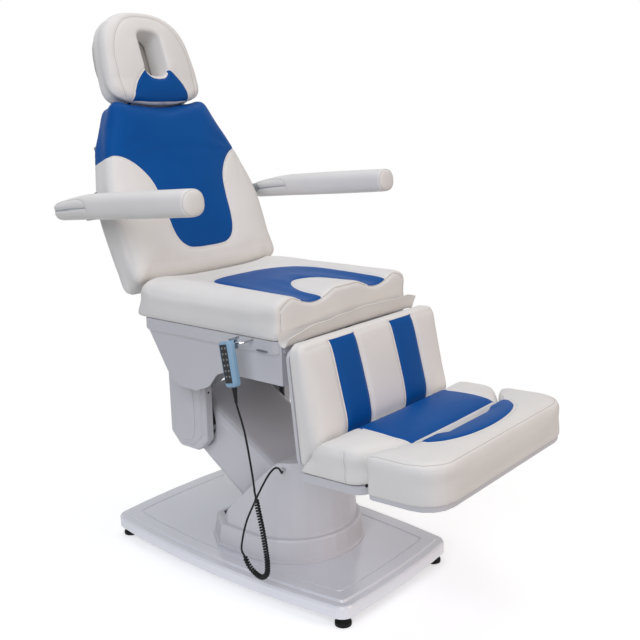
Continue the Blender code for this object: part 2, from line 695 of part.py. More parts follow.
def arm_section(half_width, half_depth, edge, along):
    """One ring of the arm cover, square to the arm."""
    corners = [(x, b, edge) for x, b in rectangle(-half_width, half_width, -half_depth, half_depth)]
    ring = []
    for x, b in fillet(corners, 4):
        y, z = on_arm(along, b - COVER_DROP)
        ring.append((x, y, z))
    return ring


def arm_cover(parent):
    """Moulded sleeve round the arm, open at both ends, with round windows at the pivots."""
    ends = (-COVER_TAIL, ARM_LENGTH + COVER_HEAD)
    depths = (COVER_LOW_DEPTH / 2, COVER_HIGH_DEPTH / 2)
    rings = [arm_section(COVER_HALF_WIDTH, d, COVER_EDGE, a) for a, d in zip(ends, depths)]
    piece = solid("lift_arm_cover", loft(rings), MOULDED, parent)
    reach = 0.01
    rings = [arm_section(COVER_HALF_WIDTH - WALL, d - WALL, COVER_EDGE - WALL, a)
             for a, d in zip((ends[0] - reach, ends[1] + reach), depths)]
    combine(piece, loft(rings), "DIFFERENCE")
    for y, z in (on_arm(0, 0), on_arm(ARM_LENGTH, 0)):
        reach = COVER_HALF_WIDTH + 0.01
        combine(piece, rod("X", y, z, WINDOW, -reach, reach, 32), "DIFFERENCE")
    return piece


def tie_bar(parent):
    """Flat bar parallel to the arm, with a cross pin in each end, which keeps the carriage level."""
    def spot(along, across):
        y, z = on_arm(along, across)
        return (y, z - TIE_DROP)
    bar = [spot(a, b) for a, b in rectangle(0.0, ARM_LENGTH, -TIE_HALF_DEPTH, TIE_HALF_DEPTH)]
    piece = solid("tie_bar", prism(bar, "X", -TIE_HALF_WIDTH, TIE_HALF_WIDTH), STEEL, parent)
    for y, z in (spot(0, 0), spot(ARM_LENGTH, 0)):
        combine(piece, rod("X", y, z, TIE_PIN + 0.010, -TIE_HALF_WIDTH, TIE_HALF_WIDTH), "UNION")
        combine(piece, rod("X", y, z, TIE_PIN, -YOKE_HALF, YOKE_HALF), "UNION")
    return piece


def pivot_shaft(name, y, z, parent):
    """A shaft through the arm and the plates on either side of it."""
    return solid(name, rod("X", y, z, SHAFT_RADIUS, -YOKE_HALF, YOKE_HALF), BRIGHT, parent)


def seat_carriage(parent):
    """Steel carriage: two side plates on the upper shaft, joined by a bridge under the seat frame."""
    y, z = on_arm(ARM_LENGTH, 0)
    low = EAR_LOW + 0.002
    top = SEAT_FRAME_LOW - GAP
    front, rear = y - CARRIAGE_HALF_LENGTH, y + CARRIAGE_HALF_LENGTH
    neck = TUB_HEEL - WALL - 0.020
    wide = front - CARRIAGE_FLARE
    side = fillet([(front, low, 0.03), (rear, low, 0.03), (rear, EAR_HIGH - 0.02, 0.01),
                   (neck, EAR_HIGH + 0.01, 0), (neck + 0.075, top, 0), (wide, top, 0),
                   (wide, EAR_HIGH + 0.02, 0.01), (front, EAR_HIGH - 0.05, 0.01)])
    piece = solid("seat_carriage", prism(side, "X", -YOKE_HALF, YOKE_HALF), STEEL, parent)
    inner = YOKE_HALF - CHEEK
    ahead, behind = wide - 0.01, rear + 0.01
    combine(piece, block((-inner, ahead, low - 0.01), (inner, behind, CARRIAGE_BRIDGE)), "DIFFERENCE")
    over = CARRIAGE_BRIDGE + BRIDGE_THICK
    combine(piece, block((-inner, ahead, over), (inner, behind, top + 0.01)), "DIFFERENCE")
    for height, radius in ((z, SHAFT_RADIUS), (z - TIE_DROP, TIE_PIN)):
        combine(piece, rod("X", y, height, radius + RUN, -YOKE_HALF - 0.01, YOKE_HALF + 0.01), "DIFFERENCE")
    return piece


def ear_covers(parent):
    """Moulded covers over the carriage plates: chamfered foot, raised face panel, hollow inside."""
    y = on_arm(ARM_LENGTH, 0)[0]
    def outline(margin):
        half = EAR_HALF_WIDTH - margin
        low = EAR_LOW + margin
        cut = EAR_CHAMFER
        return fillet([(y - half, low + cut, 0.012), (y - half + cut, low, 0.02), (y + half - cut, low, 0.02),
                       (y + half, low + cut, 0.012), (y + half, EAR_HIGH - margin, 0.004),
                       (y - half, EAR_HIGH - margin, 0.004)], 3)
    inside = YOKE_HALF + GAP
    for name, side in (("right", -1), ("left", 1)):
        face = inside + EAR_THICK
        steps = [(0.0, inside), (0.0, face - 0.010), (0.003, face - 0.006), (0.014, face - 0.006),
                 (0.018, face)]
        rings = [[(side * x, *p) for p in outline(m)] for m, x in steps]
        piece = solid(f"ear_cover_{name}", loft(rings), MOULDED, parent)
        hollow = [[(side * x, *p) for p in outline(m)]
                  for m, x in ((WALL, inside - 0.01), (WALL, face - 0.012), (0.02, face - WALL))]
        combine(piece, loft(hollow), "DIFFERENCE")


def tub_side(margin):
    """Side outline of the seat tub: straight front, round belly and sloping rear."""
    low = TUB_FRONT_LOW
    points = [(TUB_FRONT + margin, low, 0), (-0.085, low, 0.03), (-0.055, low - 0.012, 0.03),
              (-0.022, TUB_BULGE_LOW + 0.022, 0.05), (0.035, TUB_BULGE_LOW, 0.05),
              (0.112, TUB_BULGE_LOW + 0.004, 0.04), (TUB_HEEL - margin, TUB_BULGE_LOW + 0.024, 0.02),
              (TUB_REAR - 0.014 - margin, TUB_BAND_LOW - 0.002, 0.01),
              (TUB_REAR - 0.010 - margin, SEAT_LOW - GAP, 0),
              (TUB_FRONT + margin, SEAT_LOW - GAP, 0)]
    return fillet(points, 4)


def seat_tub(parent):
    """Moulded tub under the seat: a top band, belly sides and a sloping rear, open above and below."""
    piece = solid("seat_tub", prism(tub_side(0.004), "X", -TUB_HALF_WIDTH, TUB_HALF_WIDTH), MOULDED, parent)
    band = fillet([(x, y, 0.03) for x, y in rectangle(-TUB_BAND_HALF_WIDTH, TUB_BAND_HALF_WIDTH,
                                                      TUB_FRONT, TUB_REAR)], 5)
    steps = [(0.006, TUB_BAND_LOW - 0.004), (0.0, TUB_BAND_LOW + 0.004), (0.0, SEAT_LOW - GAP - 0.002),
             (0.002, SEAT_LOW - GAP)]
    combine(piece, loft([[(*p, z) for p in inset(band, d)] for d, z in steps]), "UNION")
    margin = 0.004 + WALL
    slope_low = TUB_BULGE_LOW - 0.05
    run = (TUB_HEEL - (TUB_REAR - 0.014)) / (TUB_BULGE_LOW + 0.024 - TUB_BAND_LOW + 0.002)
    foot = TUB_HEEL - margin * 1.3 + run * (slope_low - TUB_BULGE_LOW - 0.024)
    rear = TUB_REAR - 0.014 - margin * 1.3
    hollow = [(TUB_FRONT + margin, slope_low), (foot, slope_low), (rear, TUB_BAND_LOW - 0.002),
              (rear, SEAT_LOW + 0.02), (TUB_FRONT + margin, SEAT_LOW + 0.02)]
    combine(piece, prism(hollow, "X", WALL - TUB_HALF_WIDTH, TUB_HALF_WIDTH - WALL), "DIFFERENCE")
    slot = LUG + 2 * 0.002
    for side in (-1, 1):
        x = side * (LUG_X + LUG / 2)
        for y0, y1 in ((TUB_FRONT - 0.02, TUB_FRONT + 0.03), (TUB_REAR - 0.04, TUB_REAR + 0.02)):
            notch = block((x - slot / 2, y0, SEAT_FRAME_LOW - 0.004), (x + slot / 2, y1, SEAT_LOW + 0.02))
            combine(piece, notch, "DIFFERENCE")
    fork = LINK_HALF_WIDTH + FORK + 0.004
    combine(piece, block((-fork, TUB_FRONT - 0.02, LEG_Z - LINK_BELOW - LINK_EYE - 0.006),
                         (fork, TUB_FRONT + 0.03, SEAT_LOW + 0.02)), "DIFFERENCE")
    for y in (HOOK_Y - HOOK_HALF_WIDTH, HOOK_Y + HOOK_HALF_WIDTH):
        ends = (-TUB_BAND_HALF_WIDTH - 0.01, -TUB_HALF_WIDTH + WALL + 0.02)
        hole = rod("X", y, HOOK_Z, HOOK_RADIUS + GAP, *ends)
        combine(piece, hole, "DIFFERENCE")
    return piece


def seat_frame(parent):
    """Welded seat frame with hinge lugs for the back and the leg rest."""
    top = SEAT_FRAME_LOW + SEAT_FRAME_THICK
    half = TUB_HALF_WIDTH - WALL - 0.012
    front = TUB_FRONT + 0.016
    rear = TUB_REAR - 0.036
    piece = solid("seat_frame", block((-half, front, SEAT_FRAME_LOW), (half, rear, top)), STEEL, parent)
    y = on_arm(ARM_LENGTH, 0)[0] - CARRIAGE_HALF_LENGTH
    combine(piece, block((-half + SEAT_RAIL, front + SEAT_RAIL, SEAT_FRAME_LOW - 0.01),
                         (half - SEAT_RAIL, y, top + 0.01)), "DIFFERENCE")
    under, over = SEAT_FRAME_LOW + 0.001, top - 0.001
    back_lug = [(rear - 0.02, under), (BACK_Y, BACK_Z - BOSS), (BACK_Y, BACK_Z),
                (BACK_Y - BOSS, BACK_Z - 0.004),
                (BACK_Y - BOSS - 0.004, over), (rear - 0.02, over)]
    leg_lug = [(front + 0.02, under), (LEG_Y, LEG_Z - 0.010), (LEG_Y, LEG_Z + 0.010), (front + 0.02, over)]
    for side in (-1, 1):
        x = sorted((side * LUG_X, side * (LUG_X + LUG)))
        hinges = ((back_lug, BACK_Y, BACK_Z, BOSS, PIN_RADIUS), (leg_lug, LEG_Y, LEG_Z, LEG_BOSS, LEG_PIN))
        for lug, y, z, boss, pin in hinges:
            combine(piece, prism(lug, "X", *x), "UNION")
            combine(piece, rod("X", y, z, boss, *x), "UNION")
            combine(piece, rod("X", y, z, pin + RUN, x[0] - 0.01, x[1] + 0.01), "DIFFERENCE")
    y, z = LEG_Y + LINK_BEHIND, LEG_Z - LINK_BELOW
    fork = [(y - 0.009, z - 0.010), (y + 0.006, z - 0.010), (front + 0.03, under + 0.002),
            (front + 0.03, over),
            (front + 0.002, over), (front + 0.002, under + 0.006), (y - 0.009, z + 0.009)]
    for side in (-1, 1):
        x = sorted((side * (LINK_HALF_WIDTH + 0.001), side * (LINK_HALF_WIDTH + 0.001 + FORK)))
        combine(piece, prism(fork, "X", *x), "UNION")
        combine(piece, rod("X", y, z, LINK_PIN + RUN, x[0] - 0.002, x[1] + 0.002), "DIFFERENCE")
    return piece


def seat_board(parent):
    """Plywood base of the seat cushion, on the frame and inside the tub band."""
    half = TUB_HALF_WIDTH - WALL - 0.002
    outline = rectangle(-half, half, TUB_FRONT + 0.012, TUB_REAR - 0.034)
    low = SEAT_FRAME_LOW + SEAT_FRAME_THICK + GAP
    return solid("seat_board", prism(outline, "Z", low, SEAT_LOW - GAP), PLYWOOD, parent)


def seat_top(x, y):
    """Height of the seat cushion's top: a dished middle that turns into two thigh channels at the front."""
    forward = min(1.0, max(0.0, (SEAT_LANE_START - y) / (SEAT_LANE_START - SEAT_FRONT)))
    forward = forward * forward * (3 - 2 * forward)
    dish = SEAT_DISH * (1 - min(1.0, abs(x) / SEAT_CREST) ** 3)
    lane = SEAT_LANE_DEPTH * max(0.0, 1 - ((abs(x) - SEAT_LANE) / SEAT_LANE_HALF) ** 2) ** 1.5
    return SEAT_DEPTH - dish * (1 - forward) - lane * forward


def seat_section(y, drawn_in, rounding):
    """Section across the seat cushion, its sides drawn in and its edges rounded over towards an end."""
    half = SEAT_HALF_WIDTH - drawn_in
    over = half - SEAT_CREST
    height = SEAT_DEPTH - rounding
    side = [(half - 0.010, rounding), (half - 0.003, rounding + 0.003), (half, rounding + 0.010),
            (half - 0.005, 0.45 * SEAT_DEPTH)]
    for t in np.linspace(0, math.pi / 2, 6)[:-1]:
        side.append((half - over * (1 - math.cos(t)), height - 0.034 * (1 - math.sin(t))))
    top = [(x, seat_top(x, y) - rounding) for x in np.linspace(SEAT_CREST, -SEAT_CREST, 23)]
    ring = side + top + [(-x, z) for x, z in reversed(side)]
    return [(x, y, SEAT_LOW + z) for x, z in ring]


def seat_cushion(parent):
    """Seat cushion: drawn-in sides, raised edges, a dished middle and a channel for each thigh."""
    ends = [(0.0, 0.024, SEAT_FRONT_ROUND), (0.15, 0.011, 0.3 * SEAT_FRONT_ROUND), (0.4, 0.004, 0.0)]
    rings = [seat_section(SEAT_FRONT + share * SEAT_CORNER, *form) for share, *form in ends]
    middle = np.linspace(SEAT_FRONT + SEAT_CORNER, SEAT_REAR - SEAT_CORNER, 9)
    rings += [seat_section(y, 0.0, 0.0) for y in middle]
    rings += [seat_section(SEAT_REAR - share * SEAT_CORNER, *form) for share, *form in reversed(ends)]
    return solid("seat_cushion", loft(rings), VINYL, parent)


def seat_apron(parent):
    """Vinyl flap across the gap in front of the seat: down the seat's front, round a loop and up again."""
    half = APRON_THICK / 2
    route = [(SEAT_FRONT - GAP - half - y, SEAT_LOW + z) for y, z in APRON_SECTION]
    sides = [], []
    for i, (y, z) in enumerate(route):
        before, after = route[max(0, i - 1)], route[min(len(route) - 1, i + 1)]
        along = Vector((after[0] - before[0], after[1] - before[1])).normalized()
        sides[0].append((y - half * along.y, z + half * along.x))
        sides[1].append((y + half * along.y, z - half * along.x))
    outline = sides[0] + sides[1][::-1]
    return solid("seat_apron", prism(outline, "X", -APRON_HALF_WIDTH, APRON_HALF_WIDTH), VINYL, parent)


def back_outline(margin):
    """Front view of the back rest: wide waist, sloping shoulders and a dipped top edge."""
    right = [(BACK_HALF_LOW, BACK_START, 0.035), (BACK_HALF_MID, BACK_WAIST, 0.4),
             (BACK_HALF_SHOULDER, BACK_TOP - 0.145, 0.3), (BACK_HALF_TOP, BACK_TOP, 0.036)]
    left = [(-x, z, r) for x, z, r in reversed(right)]
    points = [*right, (0.0, BACK_TOP - BACK_DIP, 0.4), *left]
    return rounded(points, margin, 0.012)


def on_back(a, b, t):
    """Pads on the back grow forwards from the plane of its hinge, cut away over the seat's rear edge."""
    share = max(0.0, 1 - (b - BACK_START) / 0.15)
    return (a, -t - GAP, b + t * BACK_MITRE * share)


def back_rest(parent):
    """Back cushion, its plywood and the steel frame behind it, drawn in the back's own axes."""
    solid("back_cushion", pad(back_outline, BACK_THICK, BACK_CROWN, on_back), VINYL, parent, True)
    outline = back_outline(BACK_BOARD_INSET)
    solid("back_board", prism(outline, "Y", 0.0, BOARD), PLYWOOD, parent, True)
    low, high = BACK_FRAME_START, BACK_FRAME_TOP
    near, far = BOARD + GAP, BOARD + GAP + BACK_FRAME_THICK
    half = BACK_FRAME_HALF
    piece = solid("back_frame", block((-half, near, low), (half, far, high)), STEEL, parent, True)
    for z0, z1 in ((low + BACK_RAIL, BACK_MID_RAIL), (BACK_MID_RAIL + BACK_RAIL, high - BACK_RAIL)):
        window = block((-half + BACK_RAIL, near - 0.01, z0), (half - BACK_RAIL, far + 0.01, z1))
        combine(piece, window, "DIFFERENCE", True)
    inner = LUG_X + LUG + GAP
    for side in (-1, 1):
        x = sorted((side * inner, side * (inner + LUG)))
        leaf = [(near, low + 0.02), (far, low + 0.02), (far, low - 0.030), (BOSS, 0.0),
                (-BOSS * 0.6, -BOSS * 0.8),
                (-BOSS * 0.6, BOSS * 0.8), (near, low - 0.045)]
        combine(piece, prism(leaf, "X", *x), "UNION", True)
        combine(piece, rod("X", 0.0, 0.0, BOSS, *x), "UNION", True)
        combine(piece, rod("X", 0.0, 0.0, PIN_RADIUS + RUN, x[0] - 0.01, x[1] + 0.01), "DIFFERENCE", True)
        bore = rod("Z", side * STEM_X, STEM_PLANE, STEM_RADIUS + RUN, BACK_MID_RAIL - 0.02, high + 0.02)
        combine(piece, bore, "DIFFERENCE", True)
    hinge_shaft("back_hinge_shaft", PIN_RADIUS, parent)
    return piece


def head_stem(parent):
    """Bent steel hoop that slides in the back frame; its top run is the tilt axle, at the pivot."""
    bend = STEM_BEND
    turn = [(math.sin(t), math.cos(t)) for t in np.linspace(0, math.pi / 2, 5)]
    right = [(STEM_X, STEM_LOW - STEM_TOP)] + [(STEM_X - bend + bend * c, bend * s - bend) for s, c in turn]
    path = [(x, 0.0, z) for x, z in right + [(-x, z) for x, z in reversed(right)]]
    tube("head_stem", path, STEM_RADIUS, BRIGHT, parent, 3, True)


def head_outline(margin):
    """Front view of the head rest: an egg, a little narrower at the top."""
    half, mid = HEAD_HALF_WIDTH - margin, HEAD_LENGTH / 2
    points = []
    for i in range(36):
        t = 2 * math.pi * (i + 0.5) / 36
        c, s = math.cos(t), math.sin(t)
        bulge = 2 / 2.7
        x = half * math.copysign(abs(c) ** bulge, c)
        z = mid + (mid - margin) * math.copysign(abs(s) ** bulge, s)
        points.append((x * (1.0 - 0.20 * (z / HEAD_LENGTH - 0.35)), z))
    return points


def slot_outline(margin):
    """Breathing slot: a tall rounded opening."""
    half = SLOT_HALF_WIDTH + margin
    corners = rectangle(-half, half, SLOT_LOW - margin, SLOT_HIGH + margin)
    return fillet([(x, z, half * 0.96) for x, z in corners], 5)


def head_rest(parent):
    """Head cushion with its breathing slot, on a plywood plate with a hinge on the stem's top run."""
    def spot(a, b, t):
        return (a, HEAD_BACK - t, HEAD_LIFT + b)
    shape = pad(head_outline, HEAD_THICK, HEAD_CROWN, spot, round_front=0.034)
    piece = solid("head_cushion", shape, VINYL, parent, True)
    through = [(x, HEAD_LIFT + z) for x, z in slot_outline(0.0)]
    combine(piece, prism(through, "Y", HEAD_BACK - HEAD_THICK - 0.03, HEAD_BACK + 0.03), "DIFFERENCE", True)
    outline = [(x, HEAD_LIFT + z) for x, z in head_outline(0.022)]
    plate = prism(outline, "Y", HEAD_BACK + GAP, HEAD_BACK + GAP + BOARD)
    board = solid("head_board", plate, PLYWOOD, parent, True)
    wide = [(x, HEAD_LIFT + z) for x, z in slot_outline(0.006)]
    combine(board, prism(wide, "Y", HEAD_BACK - 0.01, HEAD_BACK + BOARD + 0.01), "DIFFERENCE", True)
    seat = HEAD_BACK + 2 * GAP + BOARD
    ring = STEM_RADIUS + 0.007
    lug = [(seat, HEAD_LIFT + 0.012), (seat, HEAD_LIFT + 0.062), (seat + 0.006, HEAD_LIFT + 0.062),
           (0.5 * ring, ring * 0.85), (0.5 * ring, -ring * 0.85), (seat + 0.006, HEAD_LIFT + 0.012)]
    hinge = solid("head_hinge", prism(lug, "X", -HEAD_LUG_X, HEAD_LUG_X), STEEL, parent, True)
    combine(hinge, rod("X", 0.0, 0.0, ring, -HEAD_LUG_X, HEAD_LUG_X), "UNION", True)
    reach = HEAD_LUG_X + 0.01
    combine(hinge, rod("X", 0.0, 0.0, STEM_RADIUS + RUN, -reach, reach), "DIFFERENCE", True)
    return piece


def arm_bracket(parent, side):
    """Steel angle on the back frame that carries an arm rest's pivot beside the cushion."""
    behind = BOARD + BACK_FRAME_THICK + 2 * GAP
    low, high = ARMREST_ALONG - BRACKET_HALF_LENGTH, ARMREST_ALONG + BRACKET_HALF_LENGTH
    inner, outer = BACK_FRAME_HALF - BACK_RAIL, BRACKET_X
    thick = BRACKET_THICK
    angle = fillet([(inner, behind, 0), (outer - thick, behind, 0.002),
                    (outer - thick, ARMREST_OUT - BRACKET_FORWARD, 0),
                    (outer, ARMREST_OUT - BRACKET_FORWARD, 0),
                    (outer, behind + thick, 0.008), (inner, behind + thick, 0)], 3)
    outline = [(side * x, y) for x, y in angle]
    piece = solid(f"arm_bracket_{SIDE[side]}", prism(outline, "Z", low, high), STEEL, parent, True)
    x = sorted((side * (outer - thick - 0.01), side * (outer + 0.01)))
    combine(piece, rod("X", ARMREST_OUT, ARMREST_ALONG, PIN_RADIUS + RUN, *x), "DIFFERENCE", True)
    bolt = sorted((side * (BRACKET_X - BRACKET_THICK - BOLT_HEAD), side * BOLT_END))
    shaft = rod("X", ARMREST_OUT, ARMREST_ALONG, PIN_RADIUS, *bolt)
    shank = solid(f"arm_pivot_bolt_{SIDE[side]}", shaft, BRIGHT, parent, True)
    head = sorted((bolt[0] if side > 0 else bolt[1], side * (BRACKET_X - BRACKET_THICK - GAP)))
    combine(shank, rod("X", ARMREST_OUT, ARMREST_ALONG, PIN_RADIUS * 1.6, *head, 6), "UNION", True)


def arm_rest(parent, side):
    """Padded arm: a steel core with a pivot hub, inside a round-ended stuffed pad."""
    middle = side * ARMREST_X
    core = [(a, b) for a, b in rectangle(-ARMREST_REACH + 0.045, 0.016, -CORE_HALF_HEIGHT, CORE_HALF_HEIGHT)]
    ends = (middle - CORE_HALF_WIDTH, middle + CORE_HALF_WIDTH)
    piece = solid(f"arm_core_{SIDE[side]}", prism(core, "X", *ends), STEEL, parent, True)
    hub = sorted((side * (BRACKET_X + GAP), side * ARMREST_X))
    combine(piece, rod("X", 0.0, 0.0, ARMREST_HUB, *hub), "UNION", True)
    bore = sorted((side * BRACKET_X, side * (BOLT_END + RUN)))
    combine(piece, rod("X", 0.0, 0.0, PIN_RADIUS + RUN, *bore), "DIFFERENCE", True)
    stations = [(ARMREST_TAIL, 0.62), (ARMREST_TAIL - 0.007, 0.86), (ARMREST_TAIL - 0.020, 1.0),
                (-ARMREST_REACH * 0.5, 1.02), (-ARMREST_REACH + 0.026, 1.0), (-ARMREST_REACH + 0.008, 0.84),
                (-ARMREST_REACH, 0.55)]
    rings = []
    for along, swell in stations:
        ring = []
        for i in range(20):
            t = 2 * math.pi * (i + 0.5) / 20
            x = ARMREST_HALF_WIDTH * swell * math.copysign(abs(math.cos(t)) ** 0.8, math.cos(t))
            z = ARMREST_HALF_HEIGHT * swell * math.copysign(abs(math.sin(t)) ** 0.8, math.sin(t))
            ring.append((middle + x, along, z))
        rings.append(ring)
    stuffing = solid(f"arm_pad_{SIDE[side]}", loft(rings), VINYL, parent, True)
    room = [(a + (GAP if a > 0 else -GAP), b + math.copysign(GAP, b)) for a, b in core]
    combine(stuffing, prism(room, "X", ends[0] - GAP, ends[1] + GAP), "DIFFERENCE", True)
    mouth = sorted((side * (ARMREST_X - ARMREST_HALF_WIDTH - 0.02), side * ARMREST_X))
    combine(stuffing, rod("X", 0.0, 0.0, ARMREST_HUB + GAP, *mouth), "DIFFERENCE", True)


def leg_rest(parent):
    """Leg cushion, mitred where it meets the foot rest, on a moulded panel with hinge lugs."""
    half, corner = LEG_HALF_WIDTH, 0.030
    corners = [(x, b, corner) for x, b in rectangle(-half, half, 0.0, LEG_LENGTH)]

    def outline(depth):
        return rounded(corners, depth)

    def spot(a, b, t):
        deep = t * (LEG_TOP_SHARE + (1 - LEG_TOP_SHARE) * b / LEG_LENGTH)
        mitred = b * (LEG_LENGTH - deep) / LEG_LENGTH
        return (a, -LEG_BACK - LEG_PANEL - GAP - deep, LEG_TOP - mitred)
    solid("leg_cushion", pad(outline, LEG_THICK, LEG_CROWN, spot), VINYL, parent, True)
    edge = half - LEG_PANEL_INSET
    front, rear = -LEG_BACK - LEG_PANEL, -LEG_BACK
    low = LEG_TOP - LEG_LENGTH + 0.008
    board = fillet([(x, z, 0.03) for x, z in rectangle(-edge, edge, low, LEG_TOP - 0.006)], 4)
    piece = solid("leg_panel", prism(board, "Y", front, rear), MOULDED, parent, True)
    inner = LUG_X + LUG + GAP
    foot = WORLD["leg_pivot"].inverted() @ Vector((0.0, FOOT_Y, FOOT_Z))
    upper = [(rear - 0.002, -0.050), (rear - 0.002, 0.004), (0.0, LEG_BOSS), (LEG_BOSS * 0.9, 0.0),
             (0.0, -LEG_BOSS)]
    lower = [(front + 0.002, low + 0.040), (foot.y - LEG_BOSS, foot.z), (foot.y, foot.z - LEG_BOSS),
             (foot.y + LEG_BOSS, foot.z), (rear, low + 0.060)]
    for side in (-1, 1):
        for leaf, near, y, z in ((upper, inner, 0.0, 0.0), (lower, LUG_X, foot.y, foot.z)):
            x = sorted((side * near, side * (near + LUG)))
            combine(piece, prism(leaf, "X", *x), "UNION", True)
            combine(piece, rod("X", y, z, LEG_BOSS, *x), "UNION", True)
            combine(piece, rod("X", y, z, LEG_PIN + RUN, x[0] - 0.01, x[1] + 0.01), "DIFFERENCE", True)
    hinge_shaft("leg_hinge_shaft", LEG_PIN, parent)
    return piece


def hinge_shaft(name, radius, parent):
    """A shaft through the hinge lugs of both sides."""
    reach = LUG_X + 2 * LUG + GAP + 0.004
    return solid(name, rod("X", 0.0, 0.0, radius, -reach, reach), BRIGHT, parent, True)


def hinge_pin(name, side, radius, parent):
    """A pin through a pair of hinge lugs."""
    x = sorted((side * (LUG_X - 0.004), side * (LUG_X + 2 * LUG + GAP + 0.004)))
    return solid(name, rod("X", 0.0, 0.0, radius, *x), BRIGHT, parent, True)


def inner_foot_outline(margin):
    """Plan of the inner foot pad, its front corners cut back; b counts forwards from the hinge."""
    half = FOOT_HALF_WIDTH
    right = [(half, TRAY_START, 0.012), (half, FOOT_SPLIT_SIDE, 0.05),
             (SPLIT_HALF_WIDTH, FOOT_SPLIT_MID, 0.06)]
    return rounded(right + [(-x, b, r) for x, b, r in reversed(right)], margin)


def outer_foot_outline(margin):
    """Plan of the outer foot pad: a crescent round the inner pad with round front corners."""
    half, gap = FOOT_HALF_WIDTH, FOOT_SPLIT_GAP
    right = [(SPLIT_HALF_WIDTH, FOOT_SPLIT_MID + gap, 0.06), (half, FOOT_SPLIT_SIDE + gap, 0.022),
             (half, FOOT_END, FOOT_CORNER)]
    return rounded(right + [(-x, b, r) for x, b, r in reversed(right)], margin)


def foot_rest(parent):
    """Inner foot pad and its moulded tray, hinged under the leg rest."""
    def spot(a, b, t):
        share = 1 - (b - TRAY_START) / (0.8 * FOOT_SPLIT_SIDE - TRAY_START)
        return (a, -(b + t * MITRE * max(0.0, share)), TRAY_THICK + GAP + t)
    solid("foot_cushion_inner", pad(inner_foot_outline, FOOT_THICK, FOOT_CROWN, spot), VINYL, parent, True)
    half = FOOT_HALF_WIDTH - LEG_PANEL_INSET
    right = [(half, -TRAY_START, 0.01), (half, -FOOT_SPLIT_SIDE, 0.04),
             (SPLIT_HALF_WIDTH, -FOOT_SPLIT_MID + 0.006, 0.06)]
    tray = fillet(right + [(-x, b, r) for x, b, r in reversed(right)], 4)
    piece = solid("foot_tray", prism(tray, "Z", 0.0, TRAY_THICK), MOULDED, parent, True)
    inner = LUG_X + LUG + GAP
    root = -TRAY_START - 0.012
    leaf = [(root, 0.001), (root, 0.010), (-LEG_BOSS * 0.9, 0.0), (0.0, 0.0), (0.0, -LEG_BOSS)]
    for side in (-1, 1):
        x = sorted((side * inner, side * (inner + LUG)))
        combine(piece, prism(leaf, "X", *x), "UNION", True)
        combine(piece, rod("X", 0.0, 0.0, LEG_BOSS, *x), "UNION", True)
        combine(piece, rod("X", 0.0, 0.0, LEG_PIN + RUN, x[0] - 0.01, x[1] + 0.01), "DIFFERENCE", True)
        hinge_pin(f"foot_hinge_pin_{SIDE[side]}", side, LEG_PIN, parent)
        hole = rod("Y", side * RAIL_X, TRAY_THICK / 2, RAIL_RADIUS + RUN, -FOOT_END, -RAIL_START + RUN)
        combine(piece, hole, "DIFFERENCE", True)
    end = WORLD["foot_pivot"].inverted() @ Vector((0.0, FOOT_Y + LINK_BEHIND, FOOT_Z - LINK_BELOW))
    fork = [(root, 0.001), (root, 0.010), (end.y + 0.009, end.z + 0.011), (end.y + 0.009, end.z - 0.010),
            (end.y - 0.010, end.z - 0.010)]
    for side in (-1, 1):
        x = sorted((side * (LINK_HALF_WIDTH + 0.001), side * (LINK_HALF_WIDTH + 0.001 + FORK)))
        combine(piece, prism(fork, "X", *x), "UNION", True)
        combine(piece, rod("X", end.y, end.z, LINK_PIN + RUN, x[0] - 0.002, x[1] + 0.002), "DIFFERENCE", True)
    return piece


def foot_extension(parent):
    """Outer foot pad on a plate with two rails that slide in the tray."""
    def spot(a, b, t):
        return (a, -b, TRAY_THICK + GAP + t)
    shape = pad(outer_foot_outline, FOOT_THICK, FOOT_CROWN, spot, round_front=0.024, waist=0.003)
    solid("foot_cushion_outer", shape, VINYL, parent, True)
    plate = [(x, -b) for x, b in outer_foot_outline(LEG_PANEL_INSET)]
    piece = solid("foot_plate", prism(plate, "Z", 0.0, TRAY_THICK), MOULDED, parent, True)
    for side in (-1, 1):
        socket = rod("Y", side * RAIL_X, TRAY_THICK / 2, RAIL_RADIUS + GAP, -RAIL_END - GAP, -FOOT_SPLIT_SIDE)
        combine(piece, socket, "DIFFERENCE", True)
        rail = rod("Y", side * RAIL_X, TRAY_THICK / 2, RAIL_RADIUS, -RAIL_END, -RAIL_START)
        solid(f"foot_rail_{SIDE[side]}", rail, BRIGHT, parent, True)
    return piece


def foot_link(parent):
    """Link behind the leg rest, with a cross pin in each end, which keeps the foot rest level."""
    ends = [(LEG_Y + LINK_BEHIND, LEG_Z - LINK_BELOW), (FOOT_Y + LINK_BEHIND, FOOT_Z - LINK_BELOW)]
    (y0, z0), (y1, z1) = ends
    half = LINK_HALF_DEPTH
    bar = [(y0 - half, z0), (y0 + half, z0), (y1 + half, z1), (y1 - half, z1)]
    piece = solid("foot_link", prism(bar, "X", -LINK_HALF_WIDTH, LINK_HALF_WIDTH), STEEL, parent)
    reach = LINK_HALF_WIDTH + 0.001 + FORK
    for y, z in ends:
        combine(piece, rod("X", y, z, LINK_EYE, -LINK_HALF_WIDTH, LINK_HALF_WIDTH), "UNION")
        combine(piece, rod("X", y, z, LINK_PIN, -reach, reach), "UNION")
    return piece


def handset_hook(parent):
    """Bright wire hoop through the tub band, which the hand control hangs on."""
    root, tip = -TUB_HALF_WIDTH + WALL - 0.001, HOOK_X
    bend = 0.010
    turns = np.linspace(0, math.pi / 2, 4)
    near = [(root, HOOK_Y + HOOK_HALF_WIDTH)]
    corner = HOOK_Y + HOOK_HALF_WIDTH - bend
    near += [(tip + bend - bend * math.sin(t), corner + bend * math.cos(t)) for t in turns]
    far = [(x, 2 * HOOK_Y - y) for x, y in reversed(near)]
    return tube("handset_hook", [(x, y, HOOK_Z) for x, y in near + far], HOOK_RADIUS, BRIGHT, parent, 2)


